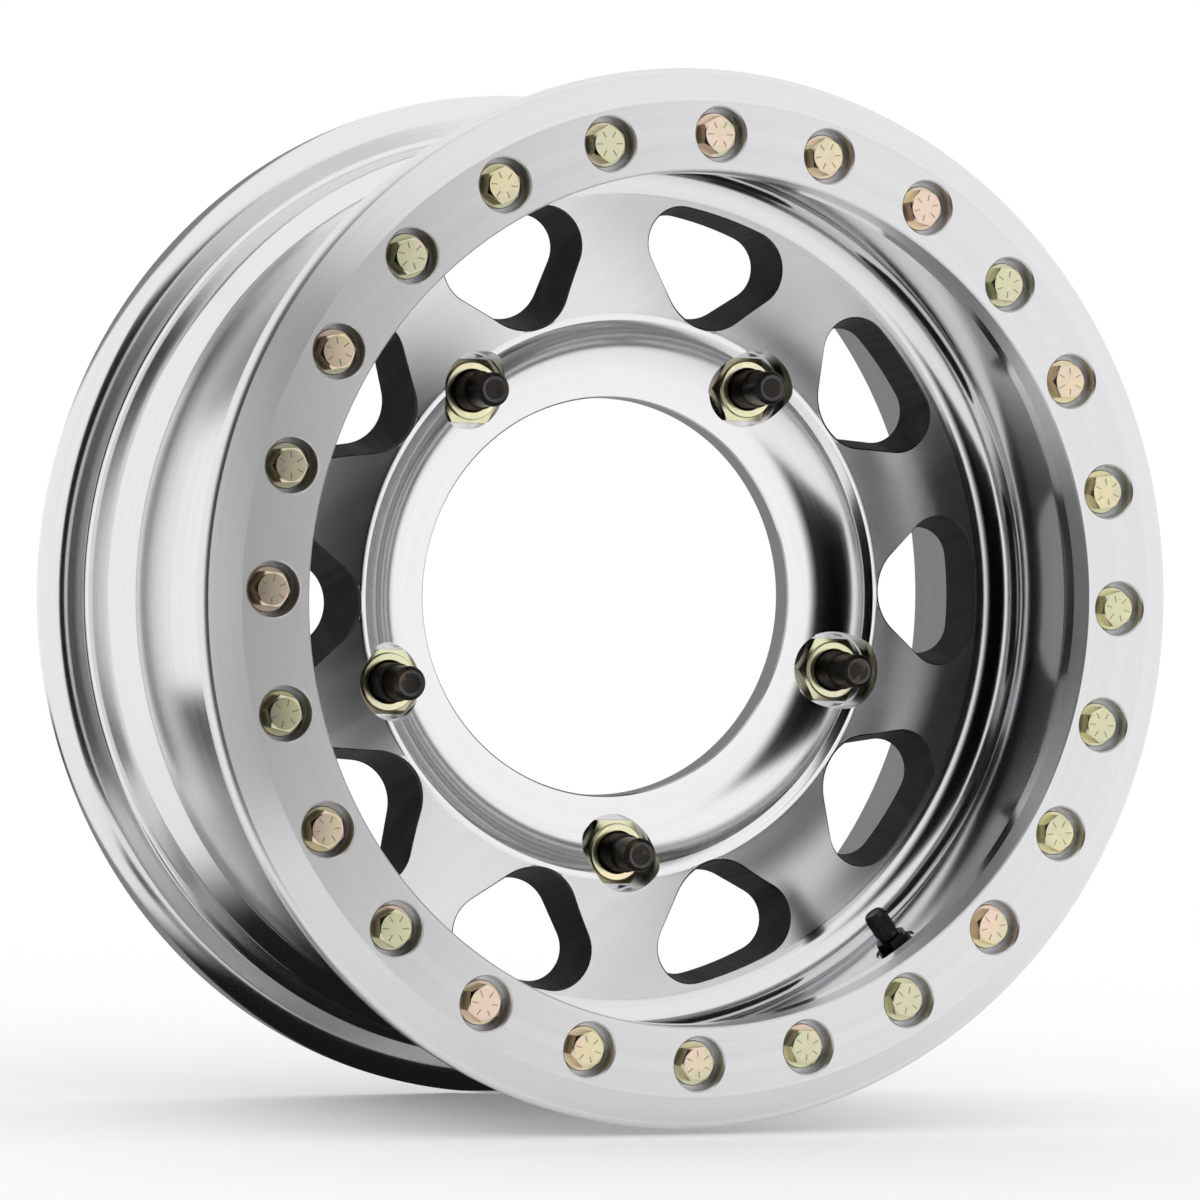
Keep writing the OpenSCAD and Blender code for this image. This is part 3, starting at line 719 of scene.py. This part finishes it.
wheel_steps = 240
wheel_section = outside_of_barrel() + inside_of_barrel() + disc_and_front()
wheel = turned("wheel_body", wheel_section, wheel_steps)
print("wheel blank:", len(wheel.data.polygons), "faces")

# %% [markdown]
# Each part of the blank has its own finish. The hub is polished brighter than the barrel, and
# the flat of the disc is milled. The faces are picked by their radius and place.

# %% Finishes on the blank
for paint in (turned_barrel, polished_hub, milled_disc, polished_barrel):
    wheel.data.materials.append(paint)
for face in wheel.data.polygons:
    radius = math.hypot(face.center.x, face.center.z)
    in_front = face.center.y < hub_y + edge
    if bore_r - edge < radius < lip_r + 0.4 * mm and in_front:
        face.material_index = 1
    elif lip_r < radius < inner_r - disc_fillet_r and abs(face.normal.y) > 0.9:
        face.material_index = 2
    elif lip_r < radius < inner_r + edge and seat_y - register_h < face.center.y < spoke_y + 1 * mm:
        face.material_index = 3
print("faces of each finish:", [sum(face.material_index == slot for face in wheel.data.polygons)
                                for slot in range(4)])

# %% [markdown]
# Ten windows are milled through the disc. One cutter is drawn as the window's outline, a
# triangle with round corners, and extruded from loop to loop. The walls lean, more at the sides
# than outside, and both ends flare to leave the small chamfer that catches the light. The front
# loops follow the sweep of the spokes' face.

# %% Window cutter
window_count = 10
window_step = 360 / window_count
window_out_r, window_in_r = 159.2 * mm, 114.3 * mm
window_tip_r, window_corner_r, window_half_w = 20 * mm, 15 * mm, 30.2 * mm
window_draft, window_out_draft = 4.3 * mm, 1.7 * mm
window_chamfer = 0.5 * mm
corner_x = window_half_w - window_corner_r
corner_z = math.sqrt((window_out_r - window_corner_r) ** 2 - corner_x ** 2)
corner_at = math.degrees(math.atan2(corner_z, corner_x))
tip_z = window_in_r + window_tip_r
centres_apart = math.hypot(corner_x, corner_z - tip_z)
side_angle = math.degrees(math.asin((window_tip_r - window_corner_r) / centres_apart)
                          - math.atan2(corner_x, corner_z - tip_z))


def window_outline():
    return (arc((0, 0), window_out_r, 180 - corner_at, corner_at, 6)
            + arc((corner_x, corner_z), window_corner_r, corner_at, side_angle, 14)[1:]
            + arc((0, tip_z), window_tip_r, side_angle, -180 - side_angle, 18)
            + arc((-corner_x, corner_z), window_corner_r, 180 - side_angle, 180 - corner_at,
                  14)[:-1])


def window_loop(place, grow):
    """The window's outline at a place behind the spokes' face or at the back, grown all round."""
    loop = []
    front = face_y if place < disc_back_y - spoke_y - 2 * mm else lambda radius: spoke_y
    for x, z in window_outline():
        y = front(math.hypot(x, z)) + place
        depth = (y - spoke_y) / (disc_back_y - spoke_y)
        wide = window_half_w - window_draft * depth + grow
        outer = window_out_r - window_out_draft * depth + grow
        inner = window_in_r + window_draft * depth - grow
        share = (z - window_in_r) / (window_out_r - window_in_r)
        loop.append(Vector((x * wide / window_half_w, y, inner + (outer - inner) * share)))
    return loop


def loft(name, loops):
    """A solid through outlines with the same number of points, extruded from one to the next."""
    solid = trace(name, loops[0])
    for before, after in zip(loops, loops[1:]):
        bpy.ops.mesh.extrude_region_move()
        mesh = bmesh.from_edit_mesh(solid.data)
        for vertex in [v for v in mesh.verts if v.select]:
            nearest = min(range(len(before)), key=lambda i: (vertex.co - before[i]).length)
            vertex.co = after[nearest]
        bmesh.update_edit_mesh(solid.data)
    tidy_mesh()
    return solid


def window_cutter():
    back = disc_back_y - spoke_y
    cutter = loft("window_cutter", [
        window_loop(-1 * mm, window_chamfer + 1 * mm), window_loop(window_chamfer, 0),
        window_loop(back - window_chamfer, 0), window_loop(back + 1 * mm, window_chamfer + 1 * mm)])
    turn_mesh(clocking + window_step / 2)
    copies_around(window_count)
    bpy.ops.object.mode_set(mode="OBJECT")
    cutter.data.materials.append(window_wall_painted_shade)
    return cutter


combine(wheel, window_cutter())
print("with windows:", len(wheel.data.polygons), "faces")

# %% [markdown]
# Round pockets for the five lug nuts, with a smaller step and a cone that seats the nut, come
# from one turned cutter copied around the wheel. The holes for the thread inserts of the
# clamp bolts and the valve's hole are cylinders.

# %% Pocket and hole cutters
lug_count, lug_r = 5, 102.5 * mm
first_lug = clocking + window_step
pocket_y = -8.9 * mm
step_y = pocket_y - 4.6 * mm
pocket_r, pocket_step_r = 15.6 * mm, 15.2 * mm
nut_seat_r, stud_hole_r = 12 * mm, 8.4 * mm
cone_len = (nut_seat_r - stud_hole_r) / math.tan(math.radians(30))
bolt_count, bolt_circle_r = 24, 179.7 * mm
insert_r, insert_end_y = 5.03 * mm, seat_y + 12.8 * mm
bolt_hole_r, bolt_hole_end_y = 4.37 * mm, seat_y + 16.5 * mm


def cutter_around(name, section, steps, axis_z, first, count, paint):
    cutter = turned(name, section, steps, axis_z)
    edit(cutter)
    turn_mesh(first)
    copies_around(count)
    bpy.ops.object.mode_set(mode="OBJECT")
    cutter.data.materials.append(paint)
    return cutter


lug_section = [
    (0, lip_y - 2 * mm), (pocket_r, lip_y - 2 * mm), (pocket_r, step_y), (pocket_step_r, step_y),
    (pocket_step_r, pocket_y), (nut_seat_r, pocket_y), (stud_hole_r, pocket_y + cone_len),
    (stud_hole_r, 1 * mm), (0, 1 * mm)]
combine(wheel, cutter_around("lug_cutter", lug_section, 72, lug_r, first_lug, lug_count,
                             pocket_wall))
insert_section = [
    (0, seat_y - 1 * mm), (insert_r, seat_y - 1 * mm), (insert_r, insert_end_y),
    (bolt_hole_r, insert_end_y), (bolt_hole_r, bolt_hole_end_y), (0, bolt_hole_end_y)]
combine(wheel, cutter_around("insert_cutter", insert_section, 20, bolt_circle_r, 0, bolt_count,
                             pocket_wall))
print("with pockets:", len(wheel.data.polygons), "faces")

# %% [markdown]
# The valve stands in the barrel's wall and points at the wheel's axis. Its hole has a flat spot
# on each side for the nut's washer and the rubber seal, as a seal can't lie on a curved wall.

# %% Valve hole
valve_at = clocking + 4 * window_step
valve_y = -59.9 * mm
valve_hole_r, washer_spot_r, seal_spot_r = 5.75 * mm, 9 * mm, 10.5 * mm
spot_in, spot_out = inner_r + 0.6 * mm, well_r - 0.6 * mm
clear_in, clear_out = inner_r - 4 * mm, well_r + 4 * mm


def radial_cutter(radius, start, stop):
    """A cylinder that points outwards at the valve."""
    deselect_all()
    bpy.ops.mesh.primitive_cylinder_add(vertices=64, radius=radius, depth=stop - start,
                                        location=(0, valve_y, (start + stop) / 2))
    cutter = bpy.context.object
    bpy.ops.object.transform_apply(location=True)
    edit(cutter)
    turn_mesh(valve_at)
    bpy.ops.object.mode_set(mode="OBJECT")
    cutter.data.materials.append(pocket_wall)
    return cutter


for radius, start, stop in ((valve_hole_r, clear_in, clear_out), (washer_spot_r, clear_in, spot_in),
                            (seal_spot_r, spot_out, clear_out)):
    combine(wheel, radial_cutter(radius, start, stop))
smooth(wheel)
finished(wheel, "wheel", "forged_aluminium", "wheel")

# %% [markdown]
# The clamp ring is turned from plate: a flat face, a wide bevel outside and a step behind that
# centres it on the wheel. Its 24 counterbores have a fine chamfer at the mouth.

# %% Clamp ring
head_floor_y = ring_face_y + 8 * mm
counterbore_r = 10.5 * mm


def ring_section():
    round_r, step_r = 3.6 * mm, register_r + 0.4 * mm
    round_c = (ring_out_r - round_r, ring_face_y + bevel_depth + round_r)
    return ([(ring_in_r, ring_face_y + edge), (ring_in_r + edge, ring_face_y),
             (ring_land_r, ring_face_y), (ring_out_r - 3 * mm, ring_face_y + bevel_depth)]
            + arc(round_c, round_r, -75, 0, 10)
            + [(ring_out_r, seat_y - edge), (ring_out_r - edge, seat_y), (step_r, seat_y),
               (step_r, seat_y - register_h), (ring_in_r, seat_y - register_h)])


ring = turned("clamp_ring", ring_section(), 360)
ring.data.materials.append(turned_ring)
mouth = 0.6 * mm
seat_section = [
    (0, ring_face_y - 1 * mm), (counterbore_r + mouth + 1 * mm, ring_face_y - 1 * mm),
    (counterbore_r, ring_face_y + mouth), (counterbore_r, head_floor_y),
    (bolt_hole_r, head_floor_y), (bolt_hole_r, seat_y + 1 * mm), (0, seat_y + 1 * mm)]
combine(ring, cutter_around("counterbore_cutter", seat_section, 72, bolt_circle_r, 0, bolt_count,
                            counterbore_wall))
smooth(ring)
finished(ring, "wheel", "ring_aluminium", "beadlock_ring")

# %% [markdown]
# Bolts and nuts are zinc plated in yellow, and the plating's thin film shows pink, gold and
# green. Studs are black oxide that has begun to rust. The valve is black with a brass core. A
# noise with a fine grain breaks up each of these finishes, because a real one is never even.

# %% Finishes of the small pieces


def zinc_plated(name, roughness, brightness=1.0, **film_settings):
    """Yellow zinc. Brightness scales the film's colour: below 1 it is painted shade, above 1 a
    painted highlight.
    """
    paint, tree, shader = start_material(name, (0.78, 0.66, 0.40), 1.0, roughness)
    film = place_group(tree, zinc_film, **film_settings)
    tone = add_node(tree, "ShaderNodeMix", (-300, 300), data_type="RGBA", blend_type="MULTIPLY")
    tone.inputs["Factor"].default_value = 1.0
    tone.inputs["B"].default_value = (brightness, brightness, brightness, 1)
    join(tree, film, "Color", tone, "A")
    join(tree, tone, "Result", shader, "Base Color")
    return paint


def plain_finish(name, color, metallic, roughness, grain, depth):
    """A finish with a fine random grain in tone and height."""
    paint, tree, shader = start_material(name, color, metallic, roughness)
    place = add_node(tree, "ShaderNodeTexCoord", (-1100, 0))
    cloud = noise_node(tree, (place, "Object"), grain, 4.0, (-900, 0))
    darker = tuple(0.7 * c for c in color)
    grey_scale(tree, shader, (cloud, "Fac"), darker, color)
    raised(tree, shader, (cloud, "Fac"), depth)
    return paint


def rusting_black(name):
    """Black oxide with thin brown traces of rust."""
    paint, tree, shader = start_material(name, (0.03, 0.028, 0.026), 1.0, 0.34)
    place = add_node(tree, "ShaderNodeTexCoord", (-1100, 0))
    cloud = noise_node(tree, (place, "Object"), 160.0, 6.0, (-900, 0))
    rust = side_fade(tree, (cloud, "Fac"), 0.52, 0.68)
    mix = blend(tree, rust, (0.035, 0.033, 0.031), (0.12, 0.075, 0.045), (-300, 300))
    join(tree, mix, "Result", shader, "Base Color")
    raised(tree, shader, (cloud, "Fac"), 0.03 * mm)
    return paint


bolt_zinc = zinc_plated("bolt_zinc", 0.22)
# Painted shade: the grade ticks get a darker copy of the bolt's zinc, so they show as dark lines.
tick_painted_shade = zinc_plated("tick_painted_shade", 0.35, brightness=0.55)
washer_zinc = zinc_plated("washer_zinc", 0.3, Shift=9.0)
# Lit and shaded copies of one zinc: the nut's face, chamfer, bore and cone are brightened as a
# painted highlight, and its hex flats are darkened as painted shade.
nut_face_zinc_painted_highlight = zinc_plated("nut_face_zinc_painted_highlight", 0.2, brightness=1.2, Shift=3.0, Mottle=0.6)
nut_flat_zinc_painted_shade = zinc_plated("nut_flat_zinc_painted_shade", 0.12, brightness=0.7, Pieces_per_Metre=90.0,
                            Mottle=0.8, Shift=5.0)
black_oxide = rusting_black("black_oxide")
worn_steel = plain_finish("worn_steel", (0.11, 0.105, 0.10), 1.0, 0.4, 700, 0.02 * mm)
insert_steel = plain_finish("insert_steel", (0.35, 0.35, 0.36), 1.0, 0.35, 700, 0.005 * mm)
black_brass = plain_finish("black_brass", (0.03, 0.03, 0.03), 1.0, 0.35, 900, 0.005 * mm)
rubber = plain_finish("rubber", (0.022, 0.022, 0.022), 0.0, 0.6, 1500, 0.01 * mm)
core_brass = plain_finish("core_brass", (0.72, 0.53, 0.25), 1.0, 0.3, 900, 0.003 * mm)
red_seal = plain_finish("red_seal", (0.45, 0.03, 0.02), 0.0, 0.5, 1500, 0.005 * mm)
spring_steel = plain_finish("spring_steel", (0.5, 0.5, 0.5), 1.0, 0.25, 900, 0.002 * mm)
cap_plastic = plain_finish("cap_plastic", (0.012, 0.012, 0.012), 0.0, 0.34, 1200, 0.01 * mm)
print("all finishes:", len(bpy.data.materials))

# %% [markdown]
# Bolts, nuts and studs repeat around the wheel. Each is modelled once at the top, at its real
# place from the axis, and its copies are turned around the axis and joined into one mesh. A
# rolled thread is drawn as rings, since its slope can't be seen at this size.

# %% Helpers for small pieces


def hexagon(name, across_flats, start, stop, axis_z, turn, round_off):
    """A hexagonal bar along Y whose first flats are level when turn is 0, with its edges broken."""
    deselect_all()
    middle = (0, (start + stop) / 2, axis_z)
    bpy.ops.mesh.primitive_cylinder_add(vertices=6, radius=across_flats / math.sqrt(3),
                                        depth=stop - start, location=middle,
                                        rotation=(math.pi / 2, 0, 0))
    bar = bpy.context.object
    bar.name = name
    bpy.ops.object.transform_apply(location=True, rotation=True)
    edit(bar)
    turn_mesh(30 + turn, (0, 0, axis_z))
    bpy.ops.mesh.bevel(offset=round_off, segments=2, affect="EDGES")
    bpy.ops.object.mode_set(mode="OBJECT")
    return bar


def thread(radius, start, stop, pitch):
    """Points (radius, y) of a rolled thread, its crests and roots slightly flat."""
    count = max(1, round((stop - start) / pitch))
    step = (stop - start) / count
    depth = 0.55 * step
    points = []
    for number in range(count):
        y = start + number * step
        points += [(radius - depth, y), (radius - depth, y + 0.12 * step),
                   (radius, y + 0.5 * step), (radius, y + 0.62 * step)]
    return points + [(radius - depth, stop)]


def painted(piece, *paints):
    piece.data.materials.clear()
    for paint in paints:
        piece.data.materials.append(paint)
    return piece


def joined(name, pieces):
    deselect_all()
    for piece in pieces:
        piece.select_set(True)
    bpy.context.view_layer.objects.active = pieces[0]
    bpy.ops.object.join()
    whole = bpy.context.object
    whole.name = name
    return whole


def copies_of(piece, count, axis_z, first=0, own_turn=lambda number: 0):
    """Copies of one piece around the wheel, each also turned about its own axis."""
    copies = []
    for number in range(count):
        work_on(piece)
        bpy.ops.object.duplicate()
        copy = bpy.context.object
        edit(copy)
        turn_mesh(own_turn(number), (0, 0, axis_z))
        turn_mesh(first + number * 360 / count)
        bpy.ops.object.mode_set(mode="OBJECT")
        copies.append(copy)
    whole = joined(piece.name + "_set", copies)
    bpy.data.objects.remove(piece)
    return whole


# %% [markdown]
# A clamp bolt has a hexagon head with a 30 degree chamfer that leaves a round land on top. Six
# ticks on the land say how strong the bolt is, and their darker zinc is painted shade. Each of
# the 24 heads stopped at its own angle.

# %% Clamp bolts and washers
bolt_r, bolt_len, bolt_af, bolt_head_h = 3.97 * mm, 22.2 * mm, 12.7 * mm, 5.4 * mm
washer_r, washer_t = 8.75 * mm, 1.6 * mm
head_y = head_floor_y - washer_t
head_top = head_y - bolt_head_h
bolt_pitch = 1.411 * mm

head = hexagon("clamp_bolt", bolt_af, head_top, head_y, bolt_circle_r, 30, 0.12 * mm)
land_r = bolt_af / 2 - 0.25 * mm
crown_r, crown_y = land_r + 1.732 * mm, head_top + 1.04 * mm
crown = turned("crown", [
    (0, head_top), (land_r - 0.15 * mm, head_top), (land_r, head_top + 0.04 * mm),
    (crown_r, crown_y), (crown_r, head_y), (0, head_y)], 60, bolt_circle_r)
painted(head, bolt_zinc)
painted(crown, bolt_zinc)
combine(head, crown, "INTERSECT")
smooth(head, 25)
shank = turned("shank", [(0, head_y), (bolt_r, head_y), (bolt_r, head_y + 6 * mm)]
               + thread(bolt_r, head_y + 6 * mm, head_y + bolt_len - 1 * mm, bolt_pitch)
               + [(bolt_r - 1 * mm, head_y + bolt_len), (0, head_y + bolt_len)], 20, bolt_circle_r)
painted(shank, bolt_zinc)
smooth(shank, 40)
tick_count, tick_r, tick_size = 6, 4.1 * mm, (0.45 * mm, 0.2 * mm, 2.5 * mm)
tick_place = (0, head_top - 0.02 * mm, bolt_circle_r + tick_r)
ticks = []
for number in range(tick_count):
    deselect_all()
    bpy.ops.mesh.primitive_cube_add(size=1, location=tick_place)
    tick = bpy.context.object
    tick.scale = tick_size
    bpy.ops.object.transform_apply(location=True, scale=True)
    edit(tick)
    turn_mesh(30 + 360 / tick_count * number, (0, 0, bolt_circle_r))
    bpy.ops.object.mode_set(mode="OBJECT")
    ticks.append(painted(tick, tick_painted_shade))
bolt = joined("clamp_bolt", [head, shank] + ticks)
turn_between_heads = 37
bolts = copies_of(bolt, bolt_count, bolt_circle_r,
                  own_turn=lambda number: turn_between_heads * number)
finished(bolts, "wheel", "yellow_zinc", "beadlock_bolts")

washer = turned("washer", [
    (bolt_hole_r, head_y + 0.1 * mm), (bolt_hole_r + 0.1 * mm, head_y),
    (washer_r - 0.3 * mm, head_y), (washer_r, head_y + 0.3 * mm), (washer_r, head_floor_y),
    (bolt_hole_r, head_floor_y)], 48, bolt_circle_r)
painted(washer, washer_zinc)
smooth(washer)
washers = copies_of(washer, bolt_count, bolt_circle_r)
finished(washers, "wheel", "yellow_zinc", "beadlock_washers")

# %% [markdown]
# A lug nut has a round raised face, a hexagon whose corners are turned away under it, and a
# cone that sits in the wheel. All five stand with two flats level, as a careful mechanic
# leaves them. The studs have a plain nose, then thread to the hub and on behind it. As on the
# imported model, the thread in the nut is a little thinner than the one for the hub.

# %% Lug nuts and studs
nut_r, stud_r, thread_r = 12.7 * mm, 7.94 * mm, 7.74 * mm
nut_face_r, nut_collar_h, nut_hex_h = 11.65 * mm, 1.5 * mm, 7.5 * mm
nut_top_y = pocket_y - nut_hex_h - nut_collar_h
hex_y = nut_top_y + nut_collar_h
slip = 0.03 * mm
nut_bore_r, nut_back_y = thread_r + slip, pocket_y - slip
nose_r, nose_y, tip_y, rear_y = 6.8 * mm, -28.2 * mm, -41.2 * mm, 22 * mm

nut_hex = hexagon("lug_nut", 2 * nut_r, hex_y, nut_back_y, lug_r, 0, 0.25 * mm)
slope = 1 / math.tan(math.radians(25))
dome_h = 1.4 * mm
dome_r = nut_face_r + dome_h * slope
dome = turned("dome", [
    (0, hex_y), (nut_face_r, hex_y), (dome_r, hex_y + dome_h), (dome_r, nut_back_y),
    (0, nut_back_y)], 72, lug_r)
# The flats take the darker zinc of painted shade, and the chamfer takes the brighter zinc of
# painted highlight.
painted(nut_hex, nut_flat_zinc_painted_shade)
painted(dome, nut_face_zinc_painted_highlight)
combine(nut_hex, dome, "INTERSECT")
bore = turned("bore", [
    (0, hex_y - 1 * mm), (nut_bore_r, hex_y - 1 * mm), (nut_bore_r, pocket_y), (0, pocket_y)],
    48, lug_r)
painted(bore, nut_face_zinc_painted_highlight)
combine(nut_hex, bore)
smooth(nut_hex, 25)
collar = turned("collar", [
    (nut_bore_r, hex_y), (nut_bore_r, nut_top_y + 1 * mm),
    (thread_r + 0.95 * mm, nut_top_y + 0.05 * mm), (thread_r + 1.1 * mm, nut_top_y),
    (nut_face_r - 0.8 * mm, nut_top_y), (nut_face_r - 0.45 * mm, nut_top_y + 0.12 * mm),
    (nut_face_r - 0.2 * mm, nut_top_y + 0.5 * mm), (nut_face_r, hex_y)], 72, lug_r)
painted(collar, nut_face_zinc_painted_highlight)
smooth(collar)
cone_r, cone_tip_y = nut_seat_r - 0.15 * mm, pocket_y + cone_len - 2 * slip
cone = turned("cone", [
    (nut_bore_r, nut_back_y), (cone_r, nut_back_y), (stud_hole_r - 0.15 * mm, cone_tip_y),
    (nut_bore_r, cone_tip_y)], 48, lug_r)
painted(cone, nut_face_zinc_painted_highlight)
smooth(cone)
nut = joined("lug_nut", [nut_hex, collar, cone])
nuts = copies_of(nut, lug_count, lug_r, first_lug,
                 lambda number: -(first_lug + number * 360 / lug_count))
finished(nuts, "wheel", "yellow_zinc", "lug_nuts")

stud = turned("lug_stud", [
    (0, tip_y + 0.3 * mm), (4.0 * mm, tip_y + 0.25 * mm), (4.6 * mm, tip_y), (5.2 * mm, tip_y),
    (nose_r - 0.3 * mm, tip_y + 1.3 * mm), (nose_r, tip_y + 1.9 * mm), (nose_r, nose_y)]
    + thread(thread_r, nose_y + 1.2 * mm, pocket_y + cone_len, bolt_pitch)
    + [(thread_r, -0.1 * mm), (stud_r, 0)]
    + thread(stud_r, 0.6 * mm, rear_y - 1.5 * mm, bolt_pitch)
    + [(stud_r - 1.5 * mm, rear_y), (0, rear_y)], 40, lug_r)
painted(stud, black_oxide, worn_steel)
for face in stud.data.polygons:
    around_tip = math.hypot(face.center.x, face.center.z - lug_r)
    if face.center.y < tip_y + 0.35 * mm and around_tip > 4.2 * mm:
        face.material_index = 1
smooth(stud, 35)
studs = copies_of(stud, lug_count, lug_r, first_lug)
finished(studs, "wheel", "black_oxide", "lug_studs")

# %% [markdown]
# The cap is turned along Y like the other pieces, and then stood up so that its axis points
# outwards at the valve's place. It has fine ribs for the fingers between a plain rim and end.

# %% Valve cap
cap_top, cap_mouth = 158.2 * mm, 170.2 * mm
cap_r, cap_bore_r, rib_count = 4.3 * mm, 3.88 * mm, 24
cap_waist_r, cap_end_y = cap_r - 0.15 * mm, cap_top + 0.35 * mm


def stand_at_valve(piece):
    upright = turned_by(valve_at, "Y") @ Matrix.Translation((0, valve_y, 0)) @ turned_by(90, "X")
    piece.data.transform(upright)
    return piece


cap = turned("cap_shell", [
    (0, cap_end_y), (2.7 * mm, cap_end_y), (3.0 * mm, cap_top), (3.5 * mm, cap_top + 0.05 * mm),
    (cap_waist_r, cap_top + 0.75 * mm), (cap_r, cap_top + 1.1 * mm), (cap_r, cap_top + 1.9 * mm),
    (cap_waist_r, cap_top + 2.1 * mm), (cap_waist_r, cap_mouth - 1.9 * mm),
    (cap_r, cap_mouth - 1.7 * mm), (cap_r, cap_mouth - 0.2 * mm), (cap_waist_r, cap_mouth),
    (cap_bore_r, cap_mouth), (cap_bore_r, cap_top + 1.5 * mm), (0, cap_top + 1.5 * mm)], 96)
painted(cap, cap_plastic)
smooth(cap)
rib = turned("rib", [
    (0, cap_top + 1.9 * mm), (0.2 * mm, cap_top + 2 * mm), (0.35 * mm, cap_top + 2.4 * mm),
    (0.35 * mm, cap_mouth - 2.3 * mm), (0.2 * mm, cap_mouth - 1.8 * mm),
    (0, cap_mouth - 1.7 * mm)], 10, cap_r)
painted(rib, cap_plastic)
smooth(rib, 60)
ribs = copies_of(rib, rib_count, cap_r)
cap = joined("ribbed_cap", [cap, ribs])
finished(stand_at_valve(cap), "cap", "cap_plastic", "valve_cap")

# %% [markdown]
# The rest of the valve and the thread inserts are small or hidden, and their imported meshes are
# round enough. They keep those meshes and only get their finish.

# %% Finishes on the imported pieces
for node, paint in {
        "thread_inserts": insert_steel, "valve_stem": black_brass, "valve_grommet": rubber,
        "valve_washer": black_brass, "valve_nut": black_brass, "valve_core_body": core_brass,
        "valve_core_seal": red_seal, "valve_core_pin": core_brass, "valve_plunger_seal": rubber,
        "valve_core_spring": spring_steel, "valve_cap_seal": red_seal}.items():
    painted(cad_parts[node], paint)
    print(node, "is now", paint.name)
